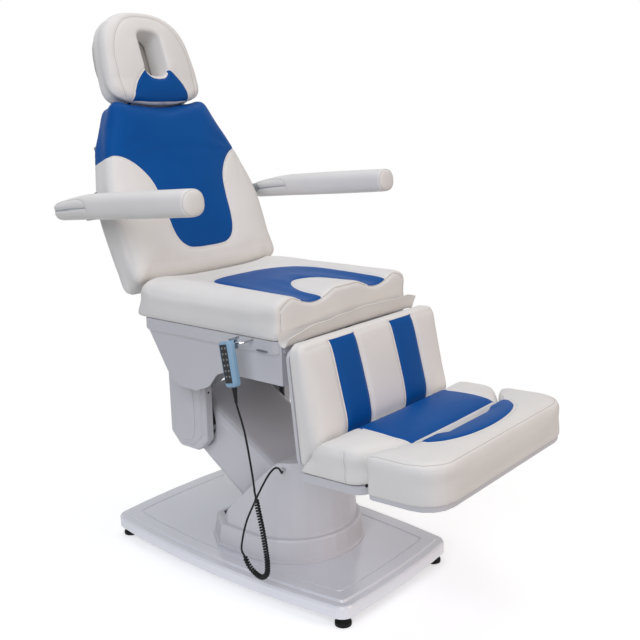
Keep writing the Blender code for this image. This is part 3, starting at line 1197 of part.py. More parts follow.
def handset(parent):
    """Hand control: moulded case, flat keypad film, steel clip on the hook and a tapered cord relief."""
    half, thick = HANDSET_HALF_WIDTH, HANDSET_THICK
    top = HANDSET_RISE
    low = top - HANDSET_LENGTH
    back, front = -CLIP_GAP, -CLIP_GAP - thick
    outline = fillet([(half, top, 0.008), (-half, top, 0.008), (-half * 0.9, low, 0.010),
                      (half * 0.9, low, 0.010)], 4)
    steps = [(0.004, back), (0.001, back - 0.004), (0.0, back - 0.5 * thick), (0.0, front + 0.005),
             (0.004, front)]
    rings = [[(x, *p) for p in inset(outline, d)] for d, x in steps]
    case = solid("handset_case", loft(rings), CASE, parent, True)
    side, foot, head = half * 0.9 - KEYPAD_INSET, low + 0.012, top - 0.008
    combine(case, block((front - 0.002, -side, foot), (front + KEYPAD_THICK, side, head)), "DIFFERENCE", True)
    film = block((front + GAP, GAP - side, foot + GAP), (front + KEYPAD_THICK - GAP, side - GAP, head - GAP))
    solid("handset_keypad", film, KEYS, parent, True)
    plate, over = back + GAP, 0.0055
    clip = [(plate, -CLIP_DROP), (plate + CLIP_THICK, -CLIP_DROP), (plate + CLIP_THICK, over),
            (CLIP_THROAT, over),
            (CLIP_THROAT, -CLIP_DROP * 0.8), (CLIP_THROAT + CLIP_THICK, -CLIP_DROP * 0.8),
            (CLIP_THROAT + CLIP_THICK, over + CLIP_THICK), (plate, over + CLIP_THICK)]
    solid("handset_clip", prism(clip, "Y", -CLIP_HALF_WIDTH, CLIP_HALF_WIDTH), BRIGHT, parent, True)
    middle = back - 0.5 * thick
    relief = spindle((middle, 0.0, low - GAP), (middle, 0.0, low - RELIEF_LENGTH),
                     [RELIEF_RADIUS, RELIEF_RADIUS * 0.9, RELIEF_RADIUS * 0.75, CORD_RADIUS + 0.0006])
    solid("handset_relief", relief, RUBBER, parent, True)
    return WORLD[parent.name] @ Vector((middle, 0.0, low - RELIEF_LENGTH - GAP))


def curls(route):
    """A helix about a smooth route, winding out from its middle line at the start and back in at the end."""
    count = CURLS * CURL_POINTS
    axis = smooth_path(route, count + 1)
    along = np.gradient(axis, axis=0)
    along /= np.linalg.norm(along, axis=1)[:, None]
    side = np.cross(along[0], (0.0, 1.0, 0.0))
    points = []
    for i, (spot, tangent) in enumerate(zip(axis, along)):
        side = side - tangent * side.dot(tangent)
        side /= np.linalg.norm(side)
        nearest_end = min(i - 1, count - 1 - i)
        reach = CURL_RADIUS * min(1.0, max(0.0, nearest_end / CURL_POINTS))
        angle = 2 * math.pi * i / CURL_POINTS
        points.append(spot + reach * (math.cos(angle) * side + math.sin(angle) * np.cross(tangent, side)))
    return np.array(points)


def least_gap(points, radius):
    """Least clear distance between stretches of a tube that aren't neighbours along it."""
    apart = np.linalg.norm(points[:, None] - points[None], axis=2)
    index = np.arange(len(points))
    apart[np.abs(index[:, None] - index[None]) < CURL_POINTS // 2 + 1] = np.inf
    return apart.min() - 2 * radius


def cord(start, holder, coil_holder, end_holder):
    """The hand control's cord: a straight lead, hanging curls and a tail up to the turret's gland."""
    first, second = np.array(CURL_ROUTE[0]), np.array(CURL_ROUTE[1])
    before, last = np.array(CURL_ROUTE[-2]), np.array(CURL_ROUTE[-1])
    lead = smooth_path([start, *LEAD_ROUTE, first - 0.5 * (second - first), first], 26)
    lead[-1] += CORD_GAP * (lead[-2] - lead[-1]) / np.linalg.norm(lead[-2] - lead[-1])
    tube("cord_lead", lead, CORD_RADIUS, RUBBER, holder, 2)
    winding = curls(CURL_ROUTE)
    tube("cord_curls", winding, CORD_RADIUS, RUBBER, coil_holder, 1)
    print("least gap between curls, mm:", round(1000 * least_gap(winding, CORD_RADIUS), 2))
    ends = [gland_spot(GLAND_PROUD + 0.012), gland_spot(GLAND_PROUD + CORD_GAP)]
    tail = smooth_path([last, last + 0.5 * (last - before), *TAIL_ROUTE, *ends], 38)
    tail[0] += CORD_GAP * (tail[1] - tail[0]) / np.linalg.norm(tail[1] - tail[0])
    tube("cord_tail", tail, CORD_RADIUS, RUBBER, end_holder, 2)


def build():
    """Put the bed together on its joint axes and stand it over the origin."""
    root = pivot("bed", (0.0, 0.0, 0.0))
    base_cover(root)
    base_frame(root)
    levelling_feet(root)
    turret_cover(root)
    cord_gland(root)
    lift_yoke(root)
    pivot_shaft("lower_shaft", LIFT_Y, LIFT_Z, root)
    lift = pivot("lift_pivot", (0.0, LIFT_Y, LIFT_Z), root)
    lift_arm(lift)
    arm_cover(lift)
    tie_bar(pivot("tie_pivot", (0.0, LIFT_Y, LIFT_Z - TIE_DROP), root))
    y, z = on_arm(ARM_LENGTH, 0)
    carriage = pivot("carriage_pivot", (0.0, y, z), lift)
    seat_carriage(carriage)
    pivot_shaft("upper_shaft", y, z, carriage)
    ear_covers(carriage)
    for piece in (seat_frame, seat_tub, seat_board, seat_cushion, seat_apron, handset_hook):
        piece(carriage)
    link_y, link_z = LEG_Y + LINK_BEHIND, LEG_Z - LINK_BELOW
    back = pivot("back_pivot", (0.0, BACK_Y, BACK_Z), carriage, BACK_LEAN)
    back_rest(back)
    frame = WORLD["back_pivot"]
    stem = pivot("head_slide", frame @ Vector((0.0, STEM_PLANE, STEM_TOP)), back, BACK_LEAN)
    head_stem(stem)
    head_rest(pivot("head_pivot", frame @ Vector((0.0, STEM_PLANE, STEM_TOP)), stem, BACK_LEAN - HEAD_NOD))
    for side in (-1, 1):
        arm_bracket(back, side)
        spot = frame @ Vector((0.0, ARMREST_OUT, ARMREST_ALONG))
        arm_rest(pivot(f"arm_pivot_{SIDE[side]}", spot, back, ARMREST_RISE), side)
    leg = pivot("leg_pivot", (0.0, LEG_Y, LEG_Z), carriage, LEG_LEAN)
    leg_rest(leg)
    foot = pivot("foot_pivot", (0.0, FOOT_Y, FOOT_Z), leg, FOOT_TILT)
    foot_rest(foot)
    foot_extension(pivot("foot_slide", (0.0, FOOT_Y, FOOT_Z), foot, FOOT_TILT))
    foot_link(pivot("link_pivot", (0.0, link_y, link_z), carriage))
    hand = pivot("handset_pivot", (HOOK_X, HOOK_Y, HOOK_Z), carriage, HANDSET_SWING, HANDSET_TURN)
    cord(handset(hand), hand, carriage, root)
    stand_over_origin(root)


def stand_over_origin(root):
    """Move the bed so that the middle of its box, without the cord, is over the origin."""
    bpy.context.view_layer.update()
    graph = bpy.context.evaluated_depsgraph_get()
    spans = []
    for item in bpy.context.scene.objects:
        if item.type in ("MESH", "CURVE") and not item.hide_render and not item.name.startswith("cord_"):
            shown = item.evaluated_get(graph)
            mesh = shown.to_mesh()
            spans += [(shown.matrix_world @ v.co).y for v in mesh.vertices]
            shown.to_mesh_clear()
    root.location.y = -(min(spans) + max(spans)) / 2
    bpy.context.view_layer.update()
    for item in bpy.context.scene.objects:
        if item.type == "EMPTY":
            print(item.name, [round(v, 5) for v in item.matrix_world.translation])


build()
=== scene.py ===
import json
import math

import bmesh
import bpy
import numpy as np
from mathutils import Matrix, Vector
from mathutils.bvhtree import BVHTree
from mathutils.kdtree import KDTree


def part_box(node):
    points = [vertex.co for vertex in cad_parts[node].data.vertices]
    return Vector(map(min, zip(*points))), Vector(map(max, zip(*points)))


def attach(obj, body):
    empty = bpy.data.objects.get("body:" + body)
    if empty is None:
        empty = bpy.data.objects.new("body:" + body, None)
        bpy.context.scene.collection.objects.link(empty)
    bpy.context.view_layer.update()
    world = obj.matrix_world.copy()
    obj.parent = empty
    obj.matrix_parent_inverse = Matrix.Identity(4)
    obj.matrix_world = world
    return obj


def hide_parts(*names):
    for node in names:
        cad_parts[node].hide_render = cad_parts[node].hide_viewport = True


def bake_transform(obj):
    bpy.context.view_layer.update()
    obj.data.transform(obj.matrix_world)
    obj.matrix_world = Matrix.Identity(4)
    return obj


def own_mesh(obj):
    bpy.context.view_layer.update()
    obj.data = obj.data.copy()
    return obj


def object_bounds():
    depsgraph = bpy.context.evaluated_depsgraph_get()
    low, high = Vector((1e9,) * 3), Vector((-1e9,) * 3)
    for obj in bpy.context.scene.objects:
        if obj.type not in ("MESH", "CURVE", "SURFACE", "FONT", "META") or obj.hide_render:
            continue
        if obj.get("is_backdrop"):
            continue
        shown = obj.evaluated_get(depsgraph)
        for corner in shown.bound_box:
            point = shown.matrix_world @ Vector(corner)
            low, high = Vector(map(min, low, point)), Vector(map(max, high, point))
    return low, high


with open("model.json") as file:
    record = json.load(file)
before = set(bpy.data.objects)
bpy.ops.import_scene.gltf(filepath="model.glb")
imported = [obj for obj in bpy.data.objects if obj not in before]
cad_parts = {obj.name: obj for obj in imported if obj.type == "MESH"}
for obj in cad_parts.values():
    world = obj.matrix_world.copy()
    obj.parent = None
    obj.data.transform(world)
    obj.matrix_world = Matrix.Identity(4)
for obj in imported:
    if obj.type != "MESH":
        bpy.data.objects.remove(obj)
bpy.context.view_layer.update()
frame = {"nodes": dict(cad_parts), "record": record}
scene = bpy.context.scene
MIDDLE = 0.11772  # the bed is drawn round its base and stands this much further back

# Camera
# A 50 mm view from the sitter's right and front, a little above the arm rests, solved from the photo.
yaw, pitch, roll = (math.radians(d) for d in (-49.8875, 12.9611, -1.2801))
behind = Vector((math.sin(yaw) * math.cos(pitch), -math.cos(yaw) * math.cos(pitch), math.sin(pitch)))
level = (-behind).cross(Vector((0, 0, 1))).normalized()
upright = level.cross(-behind)
right = math.cos(roll) * level + math.sin(roll) * upright
above = math.cos(roll) * upright - math.sin(roll) * level
lens = bpy.data.cameras.new("camera")
lens.lens = 50.63
camera = bpy.data.objects.new("camera", lens)
scene.collection.objects.link(camera)
camera.matrix_world = Matrix.Translation((-1.9625, -1.8614 + MIDDLE, 1.3751)) @ Matrix(
    (right, above, behind)).transposed().to_4x4()
scene.camera = camera
scene.view_settings.view_transform = "Standard"


def linear(colour):
    """An sRGB hex colour as linear red, green, blue and alpha."""
    parts = [int(colour[i:i + 2], 16) / 255 for i in (0, 2, 4)]
    return [c / 12.92 if c <= 0.04045 else ((c + 0.055) / 1.055) ** 2.4 for c in parts] + [1.0]


def node(tree, kind, inputs=None, **settings):
    """Add a shader node, set it up, and fill or link its inputs."""
    made = tree.nodes.new(kind)
    for name, value in settings.items():
        setattr(made, name, value)
    for key, value in (inputs or {}).items():
        if isinstance(value, bpy.types.NodeSocket):
            tree.links.new(value, made.inputs[key])
        else:
            made.inputs[key].default_value = value
    return made


# Room
# White all round for the camera, a softer white for the light that it gives, and three soft lamps.
world = bpy.data.worlds.new("room")
world.use_nodes = True
scene.world = world
tree = world.node_tree
tree.nodes.clear()
seen = node(tree, "ShaderNodeLightPath")
straight = node(tree, "ShaderNodeMath", {0: seen.outputs["Is Camera Ray"],
                                         1: seen.outputs["Is Transmission Ray"]},
                operation="MAXIMUM")
mirrored = node(tree, "ShaderNodeMath", {0: straight.outputs[0], 1: seen.outputs["Is Glossy Ray"]},
                operation="MAXIMUM")
glow = node(tree, "ShaderNodeBackground", {"Color": (1, 1, 1, 1), "Strength": 1.0})
soft = node(tree, "ShaderNodeBackground", {"Color": linear("F4F6FA"), "Strength": 0.30})
room = node(tree, "ShaderNodeMixShader", {0: mirrored.outputs[0], 1: soft.outputs[0], 2: glow.outputs[0]})
node(tree, "ShaderNodeOutputWorld", {"Surface": room.outputs[0]})

for name, place, size, power, colour in (
        ("lamp_key", (-4.2, -2.0, 3.4), 3.0, 128, "F3F6FF"),
        ("lamp_front", (1.2, -5.0, 2.0), 2.6, 70, "FFE6D2"),
        ("lamp_top", (0.4, 0.6, 5.2), 3.6, 72, "FFFFFF")):
    light = bpy.data.lights.new(name, "AREA")
    light.size = size
    light.energy = power
    light.color = linear(colour)[:3]
    lamp = bpy.data.objects.new(name, light)
    scene.collection.objects.link(lamp)
    lamp.location = place
    lamp.rotation_euler = (Vector((0, 0.1, 0.7)) - lamp.location).to_track_quat("-Z", "Y").to_euler()

# Floor
# A pale sheet that keeps the bed's soft shadow and fades into the white round it.
paper = bpy.data.materials.new("floor_paper")
paper.use_nodes = True
tree = paper.node_tree
tree.nodes.clear()
spot = node(tree, "ShaderNodeTexCoord")
reach = node(tree, "ShaderNodeVectorMath", {0: spot.outputs["Object"]}, operation="LENGTH")
fade = node(tree, "ShaderNodeMapRange", {"Value": reach.outputs["Value"], "From Min": 0.55,
                                         "From Max": 1.25})
pale = node(tree, "ShaderNodeBsdfDiffuse", {"Color": linear("FAFAFA")})
lit = node(tree, "ShaderNodeEmission", {"Color": (1, 1, 1, 1), "Strength": 0.42})
both = node(tree, "ShaderNodeAddShader", {0: pale.outputs[0], 1: lit.outputs[0]})
clear = node(tree, "ShaderNodeBsdfTransparent")
floor_mix = node(tree, "ShaderNodeMixShader", {0: fade.outputs["Result"], 1: both.outputs[0],
                                               2: clear.outputs[0]})
node(tree, "ShaderNodeOutputMaterial", {"Surface": floor_mix.outputs[0]})
mesh = bpy.data.meshes.new("floor")
mesh.from_pydata([(-2, -2, 0), (2, -2, 0), (2, 2, 0), (-2, 2, 0)], [], [(0, 1, 2, 3)])
mesh.materials.append(paper)
floor = bpy.data.objects.new("floor", mesh)
scene.collection.objects.link(floor)
floor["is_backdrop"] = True


# Cord
# The hand control's black cord: a lead down from the case, a hanging U of curls, and a tail that climbs to a
# gland in the turret. Soft vinyl round copper, gripped by the relief at one end and the gland at the other.
def smooth_path(points, count):
    """Evenly spaced points on a smooth curve through a route's own points."""
    points = [np.array(p, float) for p in points]
    knots = np.array([2 * points[0] - points[1], *points, 2 * points[-1] - points[-2]])
    fine = []
    for i in range(1, len(knots) - 2):
        p0, p1, p2, p3 = knots[i - 1:i + 3]
        for t in np.linspace(0, 1, 24, endpoint=False):
            fine.append(0.5 * (2 * p1 + (p2 - p0) * t + (2 * p0 - 5 * p1 + 4 * p2 - p3) * t ** 2
                               + (3 * p1 - p0 - 3 * p2 + p3) * t ** 3))
    fine = np.array([*fine, knots[-2]])
    run = np.concatenate([[0], np.cumsum(np.linalg.norm(np.diff(fine, axis=0), axis=1))])
    at = np.linspace(0, run[-1], count)
    return np.stack([np.interp(at, run, fine[:, k]) for k in range(fine.shape[1])], axis=1)


def ring_faces(rings, sides):
    """Faces that join rings of points, and a cap for each end."""
    faces = [(r * sides + k, r * sides + (k + 1) % sides, (r + 1) * sides + (k + 1) % sides,
              (r + 1) * sides + k)
             for r in range(rings - 1) for k in range(sides)]
    return faces + [tuple(range(sides))[::-1], tuple((rings - 1) * sides + k for k in range(sides))]


def tube(name, points, radius, sides=12):
    """A round tube along points, of one radius or one for each point, with flat ends."""
    points = np.asarray(points, float)
    radii = np.broadcast_to(radius, len(points))
    along = np.gradient(points, axis=0)
    along /= np.linalg.norm(along, axis=1)[:, None]
    side = np.cross(along[0], (0.31, 0.87, 0.39))
    rings = []
    for spot, tangent, reach in zip(points, along, radii):
        side = side - tangent * side.dot(tangent)
        side /= np.linalg.norm(side)
        other = np.cross(tangent, side)
        turn = np.linspace(0, 2 * math.pi, sides, endpoint=False)[:, None]
        rings.append(spot + reach * (np.cos(turn) * side + np.sin(turn) * other))
    made = bpy.data.meshes.new(name)
    made.from_pydata(np.concatenate(rings).tolist(), [], ring_faces(len(points), sides))
    made.shade_smooth()
    return made


def shown(name, made, material):
    """A mesh as an object of that name and material."""
    made.name = name
    made.materials.clear()
    made.materials.append(material)
    piece = bpy.data.objects.new(name, made)
    scene.collection.objects.link(piece)
    return piece


def placed(route):
    """A route's points, moved from the base's middle to the bed's."""
    return [np.array(p) + (0, MIDDLE, 0) for p in route]


def top_of(name):
    """The middle of a CAD node's upper end."""
    points = np.array([np.array(v.co) for v in frame["nodes"][name].data.vertices])
    return points[points[:, 2] > points[:, 2].max() - 0.0012].mean(0)


# Extruded soft vinyl: black, with the dull sheen of a flexible jacket.
jacket = bpy.data.materials.new("cord_vinyl")
jacket.use_nodes = True
shader = jacket.node_tree.nodes["Principled BSDF"]
shader.inputs["Base Color"].default_value = linear("1A1B1E")
shader.inputs["Roughness"].default_value = 0.42
shader.inputs["Specular IOR Level"].default_value = 0.16

curl_route = placed([(-0.3610, -0.2730, 0.372), (-0.3600, -0.2820, 0.327), (-0.3590, -0.2910, 0.283),
                     (-0.3570, -0.2990, 0.225), (-0.3550, -0.3010, 0.185), (-0.3520, -0.2950, 0.152),
                     (-0.3490, -0.2740, 0.133), (-0.3460, -0.2460, 0.134), (-0.3430, -0.2180, 0.148),
                     (-0.3410, -0.1980, 0.172)])
lead_route = placed([(-0.3666, -0.2222, 0.623), (-0.3665, -0.2460, 0.555), (-0.3640, -0.2620, 0.463),
                     (-0.3618, -0.2700, 0.395)])
tail_route = placed([(-0.3370, -0.1900, 0.215), (-0.3300, -0.2020, 0.270), (-0.3130, -0.2150, 0.318),
                     (-0.2900, -0.2240, 0.360), (-0.2620, -0.2270, 0.391), (-0.2350, -0.2260, 0.403),
                     (-0.2120, -0.2210, 0.394), (-0.1960, -0.2160, 0.375)])
cord_radius = 0.0029
cord_top = top_of("cord_lead")
gland = math.radians(212.0)
gland_spots = [np.array(((0.185 + out) * math.cos(gland),
                         -0.089 + MIDDLE + (0.185 + out) * math.sin(gland), 0.362))
               for out in (0.022, 0.0106)]

turns, per_turn, curl_radius = 44, 16, 0.0050
axis = smooth_path(curl_route, turns * per_turn + 1)
along = np.gradient(axis, axis=0)
along /= np.linalg.norm(along, axis=1)[:, None]
side = np.cross(along[0], (0.0, 1.0, 0.0))
curls = []
for i, (spot, tangent) in enumerate(zip(axis, along)):
    side = side - tangent * side.dot(tangent)
    side /= np.linalg.norm(side)
    ends = min(i - 2, turns * per_turn - 2 - i) / per_turn
    swing = curl_radius * min(1.0, max(0.0, ends))
    angle = 2 * math.pi * i / per_turn
    curls.append(spot + swing * (math.cos(angle) * side + math.sin(angle) * np.cross(tangent, side)))
curls = np.array(curls)
lead = smooth_path([cord_top, *lead_route, curl_route[0] - 0.5 * (curl_route[1] - curl_route[0]),
                    curl_route[0]], 40)
tail = smooth_path([curl_route[-1], curl_route[-1] + 0.5 * (curl_route[-1] - curl_route[-2]), *tail_route,
                    *gland_spots], 40)
lead[-1] += 0.0006 * (lead[-2] - lead[-1]) / np.linalg.norm(lead[-2] - lead[-1])
tail[0] += 0.0006 * (tail[1] - tail[0]) / np.linalg.norm(tail[1] - tail[0])

for name, path, bodies in (("lead", lead, ("handset", "carriage")),
                           ("curls", curls, ("carriage", "lift_arm")),
                           ("tail", tail, ("lift_arm", "base"))):
    piece = shown(f"cord_{name}_jacket", tube(f"cord_{name}", path, cord_radius), jacket)
    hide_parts(f"cord_{name}")
    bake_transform(piece)

grip_path = smooth_path([top_of("handset_relief"), cord_top, lead[1], lead[2]], 64)
down = np.linspace(0, 1, 64)
ribs = 1 - 0.12 * (0.5 - 0.5 * np.cos(2 * math.pi * 7 * down)) ** 2
taper = np.interp(down, (0, 1), (0.0078, 0.0042))
piece = shown("handset_bend_relief", tube("relief", grip_path, taper * ribs, 20), jacket)
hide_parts("handset_relief")
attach(piece, "handset")


# Moulded covers and frames
# Rigid pieces that keep the CAD node's form get the finish of their slot, with a little grain from the mould
# or the paint.
def finish(name, colour, roughness, metallic=0.0, grain=0.0, grain_size=0.001, coat=0.0, mottle=0.02,
           specular=0.5):
    """A plain finish with a fine bump of a real size and a little unevenness in its colour."""
    made = bpy.data.materials.new(name)
    made.use_nodes = True
    tree = made.node_tree
    shader = tree.nodes["Principled BSDF"]
    spot = node(tree, "ShaderNodeTexCoord")
    cloud = node(tree, "ShaderNodeTexNoise", {"Vector": spot.outputs["Object"], "Scale": 9.0,
                                              "Detail": 3.0})
    darker = [c * (1 - mottle) for c in linear(colour)[:3]] + [1]
    paler = [min(1, c * (1 + mottle)) for c in linear(colour)[:3]] + [1]
    tone = node(tree, "ShaderNodeMix", {0: cloud.outputs[0], 6: darker, 7: paler}, data_type="RGBA")
    tree.links.new(tone.outputs[2], shader.inputs["Base Color"])
    shader.inputs["Roughness"].default_value = roughness
    shader.inputs["Metallic"].default_value = metallic
    shader.inputs["Specular IOR Level"].default_value = specular
    shader.inputs["Coat Weight"].default_value = coat
    shader.inputs["Coat Roughness"].default_value = 0.12
    if grain:
        fine = node(tree, "ShaderNodeTexNoise", {"Vector": spot.outputs["Object"],
                                                 "Scale": 1 / grain_size, "Detail": 2.0})
        bump = node(tree, "ShaderNodeBump", {"Height": fine.outputs[0], "Strength": 0.35,
                                             "Distance": grain})
        tree.links.new(bump.outputs[0], shader.inputs["Normal"])
    return made


# Moulded ABS covers are a satin violet-grey, with 1.1 mm mould grain. The base shell is polished gel coat, so
# it has clear highlights. Powder-coated steel is mid grey with a slight orange peel, and the hook is polished
# chrome. Rubber and the film are black and dull, and the case is satin ABS in pale blue. The mottle in all of
# them is some 110 mm across, as wear and handling leave it.
moulded = finish("moulded_plastic", "CAC9CE", 0.40, grain=0.00006, grain_size=0.0011)
gloss = finish("gloss_shell", "DADBE2", 0.18, coat=0.35)
painted = finish("painted_steel", "8E9196", 0.45, grain=0.00005, grain_size=0.0016)
bright = finish("bright_steel", "C9CBCE", 0.14, metallic=1.0)
rubber = finish("black_rubber", "17181A", 0.62, grain=0.00008, grain_size=0.0013, specular=0.15)
case_plastic = finish("handset_plastic", "7FA6C4", 0.34, grain=0.00004, grain_size=0.0009)
film = finish("keypad_film", "15171B", 0.34, specular=0.12)
# Birch plywood: pale brown, with grain drawn out along its length.
plywood = bpy.data.materials.new("plywood")
plywood.use_nodes = True
tree = plywood.node_tree
spot = node(tree, "ShaderNodeTexCoord")
stretch = node(tree, "ShaderNodeMapping", {"Vector": spot.outputs["Object"], "Scale": (6, 60, 60)})
rings = node(tree, "ShaderNodeTexNoise", {"Vector": stretch.outputs[0], "Scale": 3.0, "Detail": 5.0})
wood = node(tree, "ShaderNodeMix", {0: rings.outputs[0], 6: linear("B08A5E"), 7: linear("D9BE95")},
            data_type="RGBA")
tree.links.new(wood.outputs[2], tree.nodes["Principled BSDF"].inputs["Base Color"])
tree.nodes["Principled BSDF"].inputs["Roughness"].default_value = 0.6

finishes = {"moulded_plastic": moulded, "gloss_shell": gloss, "painted_steel": painted,
            "bright_steel": bright, "black_rubber": rubber, "handset_plastic": case_plastic,
            "keypad_film": film, "plywood": plywood}
for entry in frame["record"]["subparts"]:
    if entry["material_slot"] in finishes:
        cad = frame["nodes"][entry["node"]]
        cad.data.materials.clear()
        cad.data.materials.append(finishes[entry["material_slot"]])

# Blued spring steel for the clip, and felted backing cloth with a 1.4 mm nap, stapled over the boards.
clip_spring = finish("blued_spring_steel", "4F6B84", 0.38, metallic=0.35)
backing = finish("backing_cloth", "CBC7C2", 0.8, grain=0.0003, grain_size=0.0014, specular=0.1)
for name, coat_of in (("handset_clip", clip_spring), ("cord_gland", moulded), ("head_board", backing),
                      ("back_board", backing)):
    frame["nodes"][name].data.materials.clear()
    frame["nodes"][name].data.materials.append(coat_of)


# Ear panels, screw holes and stops
# A soft-edged panel moulded proud of each ear cover, a black disc in its front edge that paints the shade of
# a screw hole, an oval finger recess in the tub's band beside the hook, darkened with painted shade, and a
# black stop where the foot rest parts.
def outward(made):
    """Turn a closed mesh's faces outwards."""
    shape = bmesh.new()
    shape.from_mesh(made)
    bmesh.ops.recalc_face_normals(shape, faces=shape.faces)
    shape.to_mesh(made)
    shape.free()


def raised(name, outline, steps, material, body, spot):
    """A moulded form: an outline drawn in at each step's inset and lifted to its height, then capped."""
    outline = np.asarray(outline, float)
    way = np.roll(outline, -1, axis=0) - np.roll(outline, 1, axis=0)
    way /= np.linalg.norm(way, axis=1)[:, None]
    inward = np.stack([-way[:, 1], way[:, 0]], axis=1)
    count = len(outline)
    rows = [spot(a, b, height) for inset, height in steps for a, b in outline + inset * inward]
    made = bpy.data.meshes.new(name)
    made.from_pydata(rows, [], ring_faces(len(steps), count))
    outward(made)
    made.shade_smooth()
    piece = shown(name, made, material)
    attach(piece, body)
    return piece


def oval(middle, half, power, count=72):
    """A rounded outline, from an ellipse at power 2 to nearly a rectangle at a high power."""
    turn = np.linspace(0, 2 * math.pi, count, endpoint=False)
    c, s = np.cos(turn), np.sin(turn)
    return np.stack([middle[0] + half[0] * np.sign(c) * np.abs(c) ** (2 / power),
                     middle[1] + half[1] * np.sign(s) * np.abs(s) ** (2 / power)], axis=1)


# The recess is the same ABS made darker: painted shade for the hollow of the recess.
shade = finish("recess_painted_shade", "8B8A93", 0.5)
ear_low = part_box("ear_cover_right")[0]
panel_steps = [(0.0, -0.0004), (0.0, 0.0012), (0.0016, 0.0030), (0.0042, 0.0044), (0.0085, 0.0052),
               (0.0150, 0.0055)]
screw_steps = [(0.0, -0.0003), (0.0, 0.0006), (0.0005, 0.0009), (0.0012, 0.0004), (0.0022, 0.0002)]
for side, sign in (("left", 1), ("right", -1)):
    face_x = -ear_low.x
    raised(f"ear_panel_{side}", oval((0.1838 + MIDDLE, 0.4860), (0.0460, 0.0990), 3.4), panel_steps,
           moulded, "carriage",
           lambda a, b, h: (sign * (face_x + h), a, b))
    # The screw hole is drawn as a low black disc: painted shade for its depth.
    raised(f"ear_screw_hole_shade_{side}", oval((sign * 0.178, 0.5518), (0.0032, 0.0032), 2, 24), screw_steps,
           rubber, "carriage",
           lambda a, b, h: (a, ear_low.y - h, b))
tub_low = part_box("seat_tub")[0]
recess_steps = [(0.0, -0.0003), (0.0, 0.0007), (0.0008, 0.0009), (0.0016, 0.0004), (0.0026, 0.0002)]
raised("tub_finger_recess", oval((-0.248 + MIDDLE, 0.7600), (0.0215, 0.0042), 2.4), recess_steps, shade,
       "carriage",
       lambda a, b, h: (tub_low.x - h, a, b))
stop_steps = [(0.0, -0.0040), (0.0, 0.0016), (0.0009, 0.0027), (0.0024, 0.0032)]
raised("foot_rest_stop", oval((-0.6308 + MIDDLE, 0.4923), (0.0040, 0.0040), 2, 24), stop_steps, rubber,
       "foot",
       lambda a, b, h: (-0.3400 - h, a, b))

# Seat cushion
# Blue and white vinyl over foam on plywood: a dished seat, blue U between white sides and a white tongue,
# with two thigh channels at the front and a separate front panel sewn on along a wavy seam.

# Embossed upholstery vinyl: dull, warm white or deep blue by panel. Its hide grain is drawn 1.4 mm across,
# twice as coarse as real, so that it shows, over slow waves some 60 mm long where the foam gives.
vinyl = bpy.data.materials.new("upholstery_vinyl")
vinyl.use_nodes = True
tree = vinyl.node_tree
shader = tree.nodes["Principled BSDF"]
spot = node(tree, "ShaderNodeTexCoord")
panel = node(tree, "ShaderNodeAttribute", attribute_name="panel")
edge = node(tree, "ShaderNodeMapRange", {"Value": panel.outputs["Fac"], "From Min": -0.0004,
                                         "From Max": 0.0004})
cloud = node(tree, "ShaderNodeTexNoise", {"Vector": spot.outputs["Object"], "Scale": 7.0, "Detail": 4.0})
white = node(tree, "ShaderNodeMix", {0: cloud.outputs[0], 6: linear("E3E0DD"), 7: linear("EDEBE8")},
             data_type="RGBA")
blue = node(tree, "ShaderNodeMix", {0: cloud.outputs[0], 6: linear("00488F"), 7: linear("04549D")},
            data_type="RGBA")
cover = node(tree, "ShaderNodeMix", {0: edge.outputs["Result"], 6: white.outputs[2], 7: blue.outputs[2]},
             data_type="RGBA")
tree.links.new(cover.outputs[2], shader.inputs["Base Color"])
shader.inputs["Roughness"].default_value = 0.48
shader.inputs["Specular IOR Level"].default_value = 0.10
cells = node(tree, "ShaderNodeTexVoronoi", {"Vector": spot.outputs["Object"], "Scale": 700.0})
pores = node(tree, "ShaderNodeTexNoise", {"Vector": spot.outputs["Object"], "Scale": 420.0,
                                          "Detail": 3.0})
hide = node(tree, "ShaderNodeMath", {0: cells.outputs[0], 1: pores.outputs[0]}, operation="ADD")
grain = node(tree, "ShaderNodeBump", {"Height": hide.outputs[0], "Strength": 0.28, "Distance": 0.00022})
swell = node(tree, "ShaderNodeTexNoise", {"Vector": spot.outputs["Object"], "Scale": 16.0, "Detail": 2.0})
waves = node(tree, "ShaderNodeBump", {"Height": swell.outputs[0], "Strength": 0.5, "Distance": 0.0016,
                                      "Normal": grain.outputs[0]})
tree.links.new(waves.outputs[0], shader.inputs["Normal"])

# Piping is the same vinyl drawn tight over a cord. A plain seam gets a thin tube a shade darker, which paints
# the shade in the seam's groove.
piping_vinyl = finish("piping_vinyl", "E9E6E2", 0.40, grain=0.0001, grain_size=0.0015)
seam_shade_paint = finish("seam_painted_shade", "CBC7C2", 0.6, specular=0.1)
stitch_gap = 0.0065  # from a seam to the row of stitches beside it
seam_shade_radius = 0.0010


def worker(made):
    """A mesh as an object for modifiers to work on."""
    work = bpy.data.objects.new("work", made)
    scene.collection.objects.link(work)
    return work


def applied(work):
    """A work object's mesh with its modifiers applied; the object goes."""
    made = bpy.data.meshes.new_from_object(work.evaluated_get(bpy.context.evaluated_depsgraph_get()))
    bpy.data.objects.remove(work)
    return made


def even(form, voxel, relax):
    """A dense skin of even quads over a closed form, which it uses up."""
    work = worker(form)
    remesh = work.modifiers.new("skin", "REMESH")
    remesh.mode = "VOXEL"
    remesh.voxel_size = voxel
    smooth = work.modifiers.new("relax", "SMOOTH")
    smooth.factor = 0.5
    smooth.iterations = relax
    made = applied(work)
    bpy.data.meshes.remove(form)
    return made


def skin(cad_name, axes, voxel):
    """A dense, even skin over a CAD cushion, in the cushion's own axes."""
    form = frame["nodes"][cad_name].data.copy()
    form.transform(axes.inverted())
    return even(form, voxel, 8)


